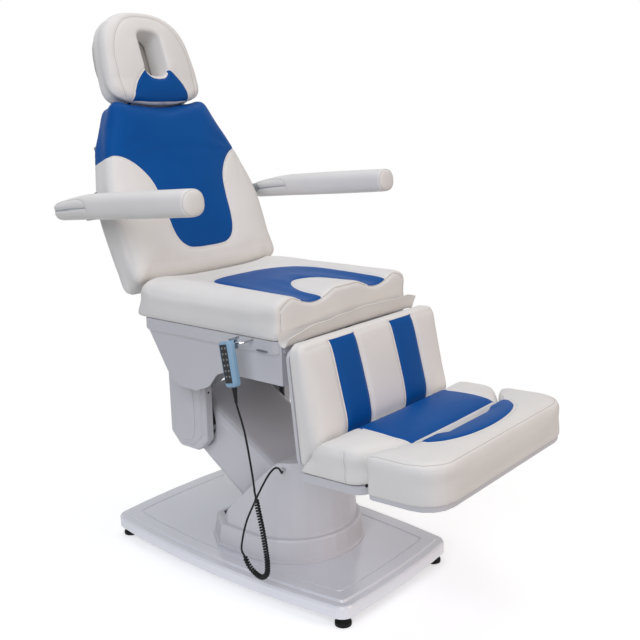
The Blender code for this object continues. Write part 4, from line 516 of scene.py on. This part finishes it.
def places(made):
    """A mesh's vertices as rows of x, y, z."""
    flat = np.empty(3 * len(made.vertices), np.float32)
    made.vertices.foreach_get("co", flat)
    return flat.reshape(-1, 3).astype(float)


def settle(made, points):
    """Put a mesh's vertices at rows of x, y, z."""
    made.vertices.foreach_set("co", points.ravel())
    made.update()


def surface(made):
    """A mesh's faces, ready for rays."""
    return BVHTree.FromPolygons([tuple(p) for p in places(made)],
                                [tuple(f.vertices) for f in made.polygons])


def normals(made):
    """A mesh's vertex normals as rows of x, y, z."""
    flat = np.empty(3 * len(made.vertices), np.float32)
    made.vertex_normals.foreach_get("vector", flat)
    return flat.reshape(-1, 3).astype(float)


def stuff(made, sewn, most):
    """Swell a skin with the cloth solver, by most at any point, and calm its wrinkles; sewn points stay."""
    work = worker(made)
    group = work.vertex_groups.new(name="sewn")
    group.add([int(i) for i in np.nonzero(sewn)[0]], 1.0, "REPLACE")
    cloth = work.modifiers.new("stuffing", "CLOTH")
    cloth.settings.vertex_group_mass = "sewn"
    cloth.settings.use_pressure = True
    cloth.settings.uniform_pressure_force = 4.0
    cloth.settings.effector_weights.gravity = 0.0
    cloth.settings.quality = 4
    cloth.collision_settings.use_collision = False
    cloth.point_cache.frame_start = 1
    cloth.point_cache.frame_end = 20
    for step in range(1, 21):
        scene.frame_set(step)
    swollen = work.evaluated_get(bpy.context.evaluated_depsgraph_get()).to_mesh()
    before, after = places(made), places(swollen)
    work.modifiers.clear()
    bpy.data.objects.remove(work)
    scene.frame_set(1)
    move = after - before
    length = np.linalg.norm(move, axis=1)[:, None]
    move *= np.minimum(1, most / np.maximum(length, 1e-9))
    ends = np.empty(2 * len(made.edges), np.int32)
    made.edges.foreach_get("vertices", ends)
    one_end, other_end = ends.reshape(-1, 2).T
    degree = np.bincount(ends, minlength=len(move))[:, None]
    for _ in range(5):
        around = np.zeros_like(move)
        np.add.at(around, one_end, move[other_end])
        np.add.at(around, other_end, move[one_end])
        move = 0.4 * move + 0.6 * around / degree
    move[sewn] = 0
    settle(made, before + move)


def finer(made):
    """One level of subdivision, as a new mesh."""
    work = worker(made)
    level = work.modifiers.new("finer", "SUBSURF")
    level.levels = 1
    dense = applied(work)
    bpy.data.meshes.remove(made)
    return dense


def apart(points, lines):
    """Distance from each point to the nearest of some sewn lines."""
    spots = np.concatenate([np.asarray(line) for line in lines])
    tree = KDTree(len(spots))
    for i, spot in enumerate(spots):
        tree.insert(spot, i)
    tree.balance()
    return np.array([tree.find(p)[2] for p in points])


def sew(made, lines, depth=0.004, width=0.009):
    """Draw a skin in along sewn lines."""
    points = places(made)
    pull = depth * np.exp(-(apart(points, lines) / width) ** 2)
    settle(made, points - normals(made) * pull[:, None])


def laid(made, line, face, count):
    """A line drawn on a cushion's front, top, left or right face, laid on its skin."""
    flat = smooth_path(line, count)
    hit = surface(made)
    out = []
    for a, b in flat:
        start, way = {"front": ((a, -0.6, b), (0, 1, 0)), "top": ((a, b, 1.4), (0, 0, -1)),
                      "left": ((0.6, a, b), (-1, 0, 0)), "right": ((-0.6, a, b), (1, 0, 0))}[face]
        spot = hit.ray_cast(Vector(start), Vector(way))[0]
        if spot:
            out.append(np.array(spot))
    return np.array(out)


def within(points, outline):
    """Signed distance from flat points to a closed outline, positive inside it."""
    a = np.asarray(outline, float)
    b = np.roll(a, -1, axis=0)
    nearest = np.full(len(points), 9.0)
    inside = np.zeros(len(points), bool)
    for (ax, ay), (bx, by) in zip(a, b):
        d = np.array((bx - ax, by - ay))
        t = np.clip(((points - (ax, ay)) @ d) / max(d @ d, 1e-12), 0, 1)
        nearest = np.minimum(nearest, np.linalg.norm(points - (ax, ay) - t[:, None] * d, axis=1))
        if ay != by:
            crosses = (ay > points[:, 1]) != (by > points[:, 1])
            inside ^= crosses & (points[:, 0] < (bx - ax) * (points[:, 1] - ay) / (by - ay) + ax)
    return np.where(inside, nearest, -nearest)


def mirrored_outline(half):
    """A half outline and its mirror image, as one closed outline."""
    return [*half, *[(-x, y) for x, y in reversed(half) if x]]


def rounded_outline(outline, count=160):
    """A closed outline as many evenly spaced points on a smooth curve."""
    wrapped = [*outline[-2:], *outline, *outline[:2]]
    path = smooth_path(wrapped, 6 * count)
    start = np.argmin(np.linalg.norm(path - np.array(outline[0]), axis=1)[:3 * count])
    end = 3 * count + np.argmin(np.linalg.norm(path - np.array(outline[0]), axis=1)[3 * count:])
    return path[start:end:max(1, (end - start) // count)]


def paint(made, value):
    """Keep each point's signed distance to the blue panels with the mesh."""
    mark = made.attributes.get("panel") or made.attributes.new("panel", "FLOAT", "POINT")
    mark.data.foreach_set("value", value.astype(np.float32))


def cushion(name, made, axes, body, cad_name):
    """Put a finished skin in place as an upholstered piece."""
    made.transform(axes)
    made.shade_smooth()
    piece = shown(name, made, vinyl)
    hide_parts(cad_name)
    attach(piece, body)


def pipe(name, line, axes, body, radius=0.0017, material=piping_vinyl):
    """White piping along a sewn line, or a thin tube that paints the shade of a plain seam."""
    made = tube(name, line, radius, 8)
    made.transform(axes)
    piece = shown(name, made, material)
    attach(piece, body)


def pipes(name, lines, axes, body, *kind):
    """Numbered piping, or tubes of painted seam shade, along each of some lines."""
    for i, line in enumerate(lines):
        pipe(f"{name}_{i + 1}", line, axes, body, *kind)


def beside(line, distance):
    """A flat line moved sideways by a distance, to its left where the distance is positive."""
    line = np.asarray(line, float)
    way = np.gradient(line, axis=0)
    way /= np.linalg.norm(way, axis=1)[:, None]
    return line + distance * np.stack([-way[:, 1], way[:, 0]], axis=1)


# White polyester thread, in stitches of 3.6 mm with a gap of 1.2 mm, is repeated along each seam.
thread = finish("polyester_thread", "DAD6D1", 0.55, grain=0.0001, grain_size=0.0008)
sewing = bpy.data.node_groups.new("top_stitching", "GeometryNodeTree")
sewing.interface.new_socket("Geometry", in_out="OUTPUT", socket_type="NodeSocketGeometry")
sewing.interface.new_socket("Seam", in_out="INPUT", socket_type="NodeSocketGeometry")
stitch_sizes = {name: sewing.interface.new_socket(name, in_out="INPUT", socket_type="NodeSocketFloat")
                for name in ("Stitch Length", "Stitch Pitch", "Thread Radius")}
given = node(sewing, "NodeGroupInput")
run = node(sewing, "GeometryNodeMeshToCurve", {0: given.outputs["Seam"]})
steps = node(sewing, "GeometryNodeResampleCurve", {"Curve": run.outputs[0],
                                                   "Length": given.outputs["Stitch Pitch"]},
             mode="LENGTH")
one = node(sewing, "GeometryNodeMeshCylinder", {"Vertices": 6, "Radius": given.outputs["Thread Radius"],
                                                "Depth": given.outputs["Stitch Length"]})
heading = node(sewing, "GeometryNodeInputTangent")
turned = node(sewing, "FunctionNodeAlignRotationToVector", {"Vector": heading.outputs[0]}, axis="Z")
copies = node(sewing, "GeometryNodeInstanceOnPoints", {"Points": steps.outputs[0],
                                                       "Instance": one.outputs[0],
                                                       "Rotation": turned.outputs[0]})
real = node(sewing, "GeometryNodeRealizeInstances", {0: copies.outputs[0]})
dyed = node(sewing, "GeometryNodeSetMaterial", {"Geometry": real.outputs[0], "Material": thread})
node(sewing, "NodeGroupOutput", {0: dyed.outputs[0]})


def stitch(name, lines, axes, body):
    """Rows of machine stitches along lines that lie on a skin, as one piece."""
    made = bpy.data.meshes.new("seams")
    starts = np.cumsum([0] + [len(line) for line in lines])
    links = [(k, k + 1) for a, b in zip(starts, starts[1:]) for k in range(a, b - 1)]
    made.from_pydata(np.concatenate(lines).tolist(), links, [])
    work = worker(made)
    rows_of = work.modifiers.new("stitches", "NODES")
    rows_of.node_group = sewing
    for key, value in (("Stitch Length", 0.0036), ("Stitch Pitch", 0.0048), ("Thread Radius", 0.00045)):
        rows_of[stitch_sizes[key].identifier] = value
    sewn_on = applied(work)
    bpy.data.meshes.remove(made)
    sewn_on.transform(axes)
    piece = shown(name, sewn_on, thread)
    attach(piece, body)


seat_axes = Matrix.Translation((0, MIDDLE, 0))
seat_low, seat_thick, seat_front = 0.7915, 0.114, -0.312
made = skin("seat_cushion", seat_axes, 0.0068)
points = places(made)
share = np.clip((points[:, 1] - 0.12) / 0.13, 0, 1)
rise = np.clip((points[:, 2] - seat_low) / seat_thick, 0, 1)
points[:, 1] += share * (0.020 - 0.030 * rise)
settle(made, points)
outer = [(0.0, 0.118), (0.06, 0.115), (0.108, 0.103), (0.148, 0.078), (0.176, 0.040), (0.191, -0.008),
         (0.198, -0.07), (0.199, -0.14), (0.199, -0.20), (0.197, -0.262), (0.192, -0.3055)]
inner = [(0.104, -0.3055), (0.100, -0.280), (0.097, -0.245), (0.089, -0.205), (0.068, -0.163),
         (0.036, -0.136), (0.0, -0.124)]
outer = smooth_path([*[(-x, y) for x, y in outer[:0:-1]], *outer], 240)
inner = smooth_path([*inner, *[(-x, y) for x, y in inner[-2::-1]]], 120)
seat_blue = [*map(tuple, outer), *map(tuple, inner)]
rows_of_seams = [line[line[:, 1] > -0.3095] for line in (outer, inner)]
seams = [laid(made, line, "top", 240) for line in rows_of_seams]
xs = np.linspace(-0.278, 0.278, 120)
lanes = 0.0245 * np.maximum(0, 1 - ((np.abs(xs) - 0.140) / 0.092) ** 2) ** 1.5
shoulder = 0.030 * np.clip((np.abs(xs) - 0.225) / 0.060, 0, 1) ** 2
front_seam = np.stack([xs, np.full(120, -0.3105), seat_low + seat_thick - 0.006 - lanes - shoulder],
                      axis=1)
corner_seams = [np.stack([np.full(60, s * 0.2785), np.full(60, -0.3065), np.linspace(0.868, 0.800, 60)],
                         axis=1)
                for s in (-1, 1)]
points = places(made)
sewn = (apart(points, [*seams, front_seam, *corner_seams]) < 0.006) | (points[:, 2] < 0.803)
stuff(made, sewn, most=0.006)
made = finer(made)
sew(made, seams, 0.003, 0.007)
sew(made, [front_seam, *corner_seams], 0.003, 0.005)
points = places(made)
paint(made, np.where(points[:, 2] > 0.85, within(points[:, :2], seat_blue), -1))
piping_lines = [laid(made, line, "top", 240) for line in rows_of_seams]
stitched = [laid(made, beside(line, stitch_gap), "top", 240) for line in rows_of_seams]
seam_shade_lines = [laid(made, line[:, [0, 2]], "front", 160) for line in (front_seam, *corner_seams)]
cushion("seat_upholstery", made, seat_axes, "carriage", "seat_cushion")
stitch("seat_stitching", stitched, seat_axes, "carriage")
pipes("seat_piping", piping_lines, seat_axes, "carriage")
pipes("seat_seam_shade", seam_shade_lines, seat_axes, "carriage", seam_shade_radius, seam_shade_paint)

# Apron
# A strip of the same vinyl, sewn under the seat's front edge and bowed up again over the gap to the leg rest.
section = smooth_path([(-0.0012, 0.026), (-0.0022, 0.008), (-0.0060, -0.0010), (-0.0120, -0.0050),
                       (-0.0190, -0.0050), (-0.0250, -0.0010), (-0.0288, 0.0080), (-0.0330, 0.0210),
                       (-0.0400, 0.0380)], 34)
deep, across = len(section), 121
rows = []
for u in np.linspace(-1, 1, across):
    x = 0.290 * u - 0.006
    rise = np.interp(u, (-1.0, -0.90, -0.65, -0.28, 0.32, 0.87, 0.96, 1.0),
                     (-0.021, -0.0145, -0.003, 0.0060, 0.0085, 0.0040, -0.0020, -0.0060))
    ripple = 0.0022 * math.sin(7.3 * u + 0.7) + 0.0012 * math.sin(17 * u)
    for i, (out, up) in enumerate(section):
        share = max(0.0, (i - 12) / 21)
        rows.append((x, seat_front + MIDDLE + out - 0.0005 + share * ripple,
                     seat_low + up + share * (rise + 0.5 * ripple)))
faces = [(r * deep + c, r * deep + c + 1, (r + 1) * deep + c + 1, (r + 1) * deep + c)
         for r in range(across - 1) for c in range(deep - 1)]
made = bpy.data.meshes.new("apron")
made.from_pydata(rows, [], faces)
made.shade_smooth()
paint(made, np.full(len(rows), -1.0))
apron = shown("seat_apron_vinyl", made, vinyl)
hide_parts("seat_apron")
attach(apron, "carriage")
grid = np.array(rows).reshape(across, deep, 3)
hem_path = np.concatenate([grid[0, :-1], grid[:, -1], grid[-1, -2::-1]])
hem = shown("seat_apron_hem", tube("hem", hem_path, 0.0012, 8), piping_vinyl)
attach(hem, "carriage")
for piece in (apron, hem):
    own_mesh(piece)

# Back cushion
# Blue shoulders that narrow to a round tongue, white lower sides, on plywood. The blue wraps over the top.
back_axes = Matrix.Translation((0, 0.290 + MIDDLE, 0.795)) @ Matrix.Rotation(math.radians(-22), 4, "X")
made = skin("back_cushion", back_axes, 0.0068)
points = places(made)
behind_share = np.clip((points[:, 1] + 0.085) / 0.080, 0, 1)
points[:, 0] *= 1 - 0.12 * behind_share * np.clip((points[:, 2] - 0.52) / 0.13, 0, 1)
low = np.clip((0.165 - points[:, 2]) / 0.055, 0, 1) * np.clip((-0.030 - points[:, 1]) / 0.055, 0, 1)
points[:, 2] -= 0.014 * low
points[:, 0] *= 1 + 0.014 * low
settle(made, points)
half = [(0.0, 0.1455), (0.045, 0.1462), (0.082, 0.152), (0.110, 0.172), (0.126, 0.205), (0.133, 0.250),
        (0.137, 0.300), (0.146, 0.356), (0.164, 0.396), (0.196, 0.434), (0.234, 0.459), (0.275, 0.467),
        (0.34, 0.464)]
curve = smooth_path(half, 120)
back_blue = [tuple(p) for p in curve] + [(0.5, 0.464), (0.5, 0.9), (-0.5, 0.9), (-0.5, 0.464)]
back_blue += [(-x, z) for x, z in curve[:0:-1]]
edge_line = smooth_path([*[(-x, z) for x, z in half[:0:-1]], *half], 260)
edge_line = edge_line[np.abs(edge_line[:, 0]) < 0.262]
seam = laid(made, edge_line, "front", 260)
crease = laid(made, [(-0.27, 0.124), (-0.12, 0.112), (0.05, 0.117), (0.27, 0.124)], "front", 120)
points = places(made)
sewn = (apart(points, [seam]) < 0.006) | (points[:, 1] > -0.018)
stuff(made, sewn, most=0.008)
made = finer(made)
sew(made, [seam], 0.003, 0.007)
sew(made, [crease], 0.0012, 0.011)
points = places(made)
paint(made, np.where(points[:, 1] < -0.004, within(points[:, [0, 2]], back_blue), -1))
line = laid(made, edge_line, "front", 260)
stitched = [laid(made, beside(edge_line, -stitch_gap), "front", 260)]
cushion("back_upholstery", made, back_axes, "back", "back_cushion")
stitch("back_stitching", stitched, back_axes, "back")
pipe("back_piping", line, back_axes, "back")

# Head cushion
# A white egg-shaped pad with a breathing slot and a blue patch below it, on plywood.
head_axes = (Matrix.Translation((0, 0.56176 + MIDDLE, 1.40782))
             @ Matrix.Rotation(math.radians(-18), 4, "X"))
made = skin("head_cushion", head_axes, 0.0046)
points = places(made)
height = np.clip((points[:, 2] + 0.016 - 0.146) / 0.146, -0.985, 0.0)
egg = np.maximum(1 - np.abs(height) ** 2.7, 0.02) ** (1 / 2.7)
square = np.maximum(1 - np.abs(height) ** 7, 0.02) ** (1 / 7)
points[:, 0] *= np.clip(square / egg, 1.0, 1.9)
forward = np.clip((-0.060 - points[:, 1]) / 0.075, 0, 1)
points[:, 0] *= 1 - 0.06 * (1 - forward)
beside_slot = np.interp(points[:, 2], (0.0, 0.04, 0.24, 0.268), (0, 1, 1, 0))
points[:, 2] -= 0.014 * beside_slot * np.exp(-(points[:, 0] / 0.075) ** 2)
points[:, 0] *= 1 + 1.0 * beside_slot * np.exp(-(points[:, 0] / 0.05) ** 2)
low = np.clip((0.045 - points[:, 2]) / 0.06, 0, 1)
points[:, 1] -= 0.014 * low * np.clip((-0.075 - points[:, 1]) / 0.03, 0, 1)
points[:, 2] -= low * (0.003 + 0.017 * np.clip(1 - (points[:, 0] / 0.17) ** 2, 0, 1))
settle(made, points)
made = even(made, 0.0044, 6)
half = [(0.0, 0.043), (0.024, 0.047), (0.040, 0.060), (0.0475, 0.074), (0.066, 0.061), (0.091, 0.034),
        (0.107, 0.006)]
curve = [*map(tuple, smooth_path(half, 60)), (0.1145, -0.022)]
head_blue = mirrored_outline([*curve, (0.058, -0.0275), (0.0, -0.0295)])
patch_line = [*[(-x, z) for x, z in curve[:0:-1]], *curve]
seam = laid(made, patch_line, "front", 200)
ring = []
for t in np.linspace(0, 2 * math.pi, 200):
    c, s = math.cos(t), math.sin(t)
    power = 2 / (2.6 if s > 0 else 7)
    z = 0.110 + (0.142 if s > 0 else 0.136) * math.copysign(abs(s) ** power, s)
    x = 0.150 * math.copysign(abs(c) ** power, c) * (1 - 0.16 * max(0.0, z - 0.11) / 0.14)
    ring.append((x, z - (0.008 * (1 - (x / 0.15) ** 2) if s < 0 else 0)))
rim = laid(made, ring, "front", 300)
points = places(made)
sewn = (apart(points, [seam, rim]) < 0.005) | (points[:, 1] > -0.068)
sewn |= within(points[:, [0, 2]], [(-0.05, 0.05), (0.05, 0.05), (0.05, 0.208), (-0.05, 0.208)]) > 0
stuff(made, sewn, most=0.006)
made = finer(made)
sew(made, [seam], 0.0025, 0.006)
sew(made, [rim], 0.002, 0.005)
points = places(made)
paint(made, np.where(points[:, 1] < -0.08, within(points[:, [0, 2]], head_blue), -1))
line = laid(made, patch_line, "front", 200)
seam_shade_line = laid(made, ring, "front", 300)
stitched = [laid(made, beside(ring, 0.005), "front", 300)]
cushion("head_upholstery", made, head_axes, "head_rest", "head_cushion")
stitch("head_stitching", stitched, head_axes, "head_rest")
pipe("head_piping", line, head_axes, "head_rest")
pipe("head_seam_shade", seam_shade_line, head_axes, "head_rest", 0.0009, seam_shade_paint)

# Leg cushion
# White vinyl with two blue stripes sewn in with piping, on the moulded leg panel.
leg_axes = Matrix.Translation((0, -0.336 + MIDDLE, 0.772)) @ Matrix.Rotation(math.radians(-6), 4, "X")
made = skin("leg_cushion", leg_axes, 0.0062)
points = places(made)
points[:, 2] += 0.010 * np.clip((points[:, 2] + 0.06) / 0.07, 0, 1)
settle(made, points)
stripes = [[(s * 0.081, 0.013), (s * 0.190, 0.013), (s * 0.190, -0.4), (s * 0.081, -0.4)]
           for s in (-1, 1)]
lines2d = [[(s * x, 0.010), (s * x, -0.12), (s * x, -0.262)] for s in (-1, 1) for x in (0.081, 0.190)]
seams = [laid(made, line, "front", 110) for line in lines2d]
gusset = laid(made, [(-0.290, 0.005), (-0.1, 0.011), (0.1, 0.011), (0.290, 0.005)], "front", 140)
points = places(made)
sewn = (apart(points, [*seams, gusset]) < 0.006) | (points[:, 1] > -0.034)
stuff(made, sewn, most=0.009)
made = finer(made)
sew(made, seams, 0.005, 0.009)
sew(made, [gusset], 0.0014, 0.006)
points = places(made)
striped = np.max([within(points[:, [0, 2]], stripe) for stripe in stripes], axis=0)
paint(made, np.where(normals(made)[:, 1] < -0.2, striped, -1))
piping_lines = [laid(made, line, "front", 110) for line in lines2d]
stitched = [laid(made, [(x + s * stitch_gap, z) for x, z in line], "front", 110)
            for line, s in zip(lines2d, (1, -1, -1, 1))]
cushion("leg_upholstery", made, leg_axes, "leg", "leg_cushion")
stitch("leg_stitching", stitched, leg_axes, "leg")
pipes("leg_piping", piping_lines, leg_axes, "leg")

# Inner foot cushion
# White wedge-sided pad on the tray, with a blue panel across it.
foot_axes = Matrix.Translation((0, -0.372 + MIDDLE, 0.449)) @ Matrix.Rotation(math.radians(-2), 4, "X")
made = skin("foot_cushion_inner", foot_axes, 0.0058)
inner_blue = [(-0.205, -0.10), (0.205, -0.10), (0.212, -0.25), (0.2065, -0.304), (-0.2065, -0.304),
              (-0.212, -0.25)]
side_lines = [[(s * 0.2045, -0.150), (s * 0.209, -0.20), (s * 0.212, -0.25), (s * 0.207, -0.300)]
              for s in (-1, 1)]
seams = [laid(made, line, "top", 90) for line in side_lines]
side_seam = [(-0.196, 0.030), (-0.196, 0.060), (-0.194, 0.094), (-0.191, 0.104)]
points = places(made)
sewn = (apart(points, seams) < 0.006) | (points[:, 2] < 0.034)
stuff(made, sewn, most=0.007)
made = finer(made)
sew(made, seams, 0.004, 0.008)
sew(made, [laid(made, side_seam, face, 60) for face in ("left", "right")], 0.0016, 0.004)
points = places(made)
paint(made, np.where(points[:, 2] > 0.040, within(points[:, :2], inner_blue), -1))
piping_lines = [laid(made, line, "top", 90) for line in side_lines]
stitched = [laid(made, [(x + s * stitch_gap, y) for x, y in line], "top", 90)
            for line, s in zip(side_lines, (-1, 1))]
seam_shade_lines = [laid(made, side_seam, face, 60) for face in ("left", "right")]
stitched += [laid(made, [(y + 0.006, z) for y, z in side_seam], face, 60) for face in ("left", "right")]
cushion("foot_upholstery_inner", made, foot_axes, "foot", "foot_cushion_inner")
stitch("foot_stitching_inner", stitched, foot_axes, "foot")
pipes("foot_piping", piping_lines, foot_axes, "foot")
pipes("foot_fold", seam_shade_lines, foot_axes, "foot", seam_shade_radius, seam_shade_paint)

# Outer foot cushion
# A crescent pad on the sliding plate, with a blue half-moon and a seam round its top edge.
made = skin("foot_cushion_outer", foot_axes, 0.0058)
points = places(made)
upright_faces = np.clip(1.6 * np.linalg.norm(normals(made)[:, :2], axis=1) - 0.5, 0, 1)
outside = np.hypot(np.maximum(np.abs(points[:, 0]) - 0.266, 0),
                   np.maximum(-0.386 - points[:, 1], 0)) > 0.064
points[:, 2] -= 0.0195 * upright_faces * outside * np.clip((0.060 - points[:, 2]) / 0.034, 0, 1)
settle(made, points)
half = [(0.0, -0.3285), (0.10, -0.3285), (0.18, -0.329), (0.2105, -0.336), (0.205, -0.353),
        (0.168, -0.386), (0.10, -0.408), (0.0, -0.4165)]
moon = rounded_outline(mirrored_outline(half), 160)
front_half = moon[moon[:, 1] < -0.334]
arc = front_half[np.argsort(front_half[:, 0])]
seam = laid(made, arc, "top", 140)
brim = []
for t in np.linspace(0, 1, 90):
    x = -0.334 + 0.668 * t
    corner = max(0.0, abs(x) - 0.256) / 0.078
    brim.append((x, -0.454 + 0.078 * (1 - math.sqrt(max(0.0, 1 - corner ** 2)))))
brim = [(-0.334, -0.27), (-0.334, -0.33), *brim, (0.334, -0.33), (0.334, -0.27)]
rim = laid(made, brim, "top", 260)
points = places(made)
sewn = (apart(points, [seam, rim]) < 0.006) | (points[:, 2] < 0.034)
stuff(made, sewn, most=0.007)
made = finer(made)
sew(made, [seam], 0.0035, 0.008)
sew(made, [rim], 0.0025, 0.006)
points = places(made)
paint(made, np.where(points[:, 2] > 0.085, within(points[:, :2], moon), -1))
line = laid(made, arc, "top", 140)
stitched = [laid(made, beside(arc, -stitch_gap), "top", 140)]
seam_shade_line = laid(made, brim, "top", 260)
cushion("foot_upholstery_outer", made, foot_axes, "foot_extension", "foot_cushion_outer")
stitch("foot_stitching_outer", stitched, foot_axes, "foot_extension")
pipe("foot_piping_moon", line, foot_axes, "foot_extension")
pipe("foot_fold_rim", seam_shade_line, foot_axes, "foot_extension", seam_shade_radius, seam_shade_paint)

# Arm pads
# White vinyl sleeves over foam round a steel core, sewn to a cap at the front. At the rear the sleeve is
# turned in over the bracket along a tab, with a slit where its two edges meet.
# The turned-in edge in each slit is a strip of vinyl painted grey: painted shade for the inside of the slit.
slit_shade_paint = finish("slit_painted_shade", "A9ADB2", 0.5)
for side, sign in (("left", 1), ("right", -1)):
    arm_axes = (Matrix.Translation((sign * 0.4166, 0.39976 + MIDDLE, 1.12005))
                @ Matrix.Rotation(math.radians(-4), 4, "X"))
    shape_at = [(0.0190, 0.012, 0.006, 0.016), (0.0188, 0.021, 0.0125, 0.026),
                (0.0176, 0.0275, 0.0160, 0.0310), (0.0136, 0.0325, 0.0185, 0.0340),
                (0.0050, 0.0360, 0.0205, 0.0352), (-0.014, 0.0382, 0.0238, 0.0352),
                (-0.040, 0.0396, 0.0278, 0.0350), (-0.075, 0.0402, 0.0326, 0.0348),
                (-0.110, 0.0404, 0.0360, 0.0348), (-0.150, 0.0405, 0.0378, 0.0350),
                (-0.250, 0.0406, 0.0386, 0.0356), (-0.380, 0.0405, 0.0386, 0.0356),
                (-0.500, 0.0402, 0.0380, 0.0350), (-0.540, 0.0400, 0.0376, 0.0346),
                (-0.5475, 0.0393, 0.0366, 0.0338), (-0.5510, 0.0378, 0.0350, 0.0322),
                (-0.5525, 0.0362, 0.0335, 0.0307), (-0.5545, 0.0330, 0.0303, 0.0278),
                (-0.5570, 0.0260, 0.0240, 0.0220), (-0.5585, 0.0170, 0.0155, 0.0145),
                (-0.5590, 0.0070, 0.0065, 0.0060)]
    stations = smooth_path([(0.0, *row) for row in shape_at], 210)[:, 1:]
    sides = 72
    rows = []
    for y, wide, tall, deep in stations:
        for i in range(sides):
            t = 2 * math.pi * i / sides
            c, s = math.cos(t), math.sin(t)
            wave = 1 + 0.005 * math.sin(3 * t + 19 * y) * math.sin(31 * y + sign)
            rows.append((wide * wave * math.copysign(abs(c) ** 0.8, c), y,
                         (tall if s > 0 else deep) * wave * math.copysign(abs(s) ** 0.8, s)))
    made = bpy.data.meshes.new("arm")
    made.from_pydata(rows, [], ring_faces(len(stations), sides))
    outward(made)
    hit = surface(made)
    tab_route = [(0.010, 0.0130), (-0.04, 0.0225), (-0.085, 0.0255), (-0.119, 0.0235), (-0.137, 0.0150),
                 (-0.147, 0.0), (-0.150, -0.012)]
    slit_route = [(0.013, -0.0060), (-0.05, -0.0025), (-0.143, 0.0010)]
    tabs, slits = [], []
    for face in (-1, 1):
        for lines, route in ((tabs, tab_route), (slits, slit_route)):
            spots = [hit.ray_cast(Vector((face * 0.2, y, z)), Vector((-face, 0, 0)))[0]
                     for y, z in smooth_path(route, 90)]
            lines.append(np.array([p for p in spots if p]))
    cap = np.array([(0.0378 * math.cos(t), -0.5510, (0.0350 if math.sin(t) > 0 else 0.0322) * math.sin(t))
                    for t in np.linspace(0, 2 * math.pi, 140)])
    cap = np.array([hit.find_nearest(Vector(p))[0] for p in cap])
    sew(made, tabs, 0.0016, 0.0032)
    sew(made, slits, 0.0050, 0.0042)
    sew(made, [cap], 0.0016, 0.0028)
    paint(made, np.full(len(made.vertices), -1.0))
    hit = surface(made)
    seam_shade_lines = [np.array([hit.find_nearest(Vector(p))[0] for p in line]) for line in (*tabs, cap)]
    cushion(f"arm_upholstery_{side}", made, arm_axes, f"arm_{side}", f"arm_pad_{side}")
    pipes(f"arm_fold_{side}", seam_shade_lines, arm_axes, f"arm_{side}", 0.0008, seam_shade_paint)
    for i, line in enumerate(slits):
        strip = []
        for k, p in enumerate(line):
            half = 0.0034 * (1 - 0.55 * k / len(line))
            inwards = 0.0030 * np.sign(p[0])
            strip += [(p[0] - inwards, p[1], p[2] - half), (p[0] - inwards, p[1], p[2] + half)]
        made = bpy.data.meshes.new("slit")
        made.from_pydata(strip, [], [(2 * k, 2 * k + 2, 2 * k + 3, 2 * k + 1)
                                     for k in range(len(line) - 1)])
        made.transform(arm_axes)
        piece = shown(f"arm_slit_{side}_{i + 1}", made, slit_shade_paint)
        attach(piece, f"arm_{side}")

# Hand control
# A pale blue case with a black keypad film, whose grey marks are printed in two columns. The case, film and
# hook keep their CAD form.
hand_axes = (Matrix.Translation((-0.336, -0.188 + MIDDLE, 0.786))
             @ Matrix.Rotation(math.radians(-14), 4, "Z")
             @ Matrix.Rotation(math.radians(-14), 4, "X"))
# Screen-printed ink: a flat mid grey.
ink = finish("key_ink", "757A80", 0.5)
group = bpy.data.node_groups.new("key_marks", "GeometryNodeTree")
group.interface.new_socket("Geometry", in_out="OUTPUT", socket_type="NodeSocketGeometry")
sizes = {name: group.interface.new_socket(name, in_out="INPUT", socket_type="NodeSocketFloat")
         for name in ("Mark Width", "Mark Height", "Column Pitch", "Row Pitch")}
given = node(group, "NodeGroupInput")
grid = node(group, "GeometryNodeMeshGrid", {"Size X": given.outputs["Column Pitch"], "Vertices X": 2,
                                            "Vertices Y": 6})
tall = node(group, "ShaderNodeMath", {0: given.outputs["Row Pitch"], 1: 5.0}, operation="MULTIPLY")
group.links.new(tall.outputs[0], grid.inputs["Size Y"])
mark = node(group, "GeometryNodeMeshGrid", {"Size X": given.outputs["Mark Width"],
                                            "Size Y": given.outputs["Mark Height"],
                                            "Vertices X": 2, "Vertices Y": 2})
copies = node(group, "GeometryNodeInstanceOnPoints", {"Points": grid.outputs[0],
                                                      "Instance": mark.outputs[0]})
real = node(group, "GeometryNodeRealizeInstances", {0: copies.outputs[0]})
inked = node(group, "GeometryNodeSetMaterial", {"Geometry": real.outputs[0], "Material": ink})
node(group, "NodeGroupOutput", {0: inked.outputs[0]})
work = worker(bpy.data.meshes.new("work"))
marks = work.modifiers.new("marks", "NODES")
marks.node_group = group
for name, value in (("Mark Width", 0.0080), ("Mark Height", 0.0050), ("Column Pitch", 0.0175),
                    ("Row Pitch", 0.0152)):
    marks[sizes[name].identifier] = value
made = applied(work)
made.transform(hand_axes @ Matrix.Translation((-0.0335 + 0.0003, 0, -0.050)) @ Matrix(
    ((0, 0, -1, 0), (-1, 0, 0, 0), (0, 1, 0, 0), (0, 0, 0, 1))))
piece = shown("handset_key_marks", made, ink)
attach(piece, "handset")

low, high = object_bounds()
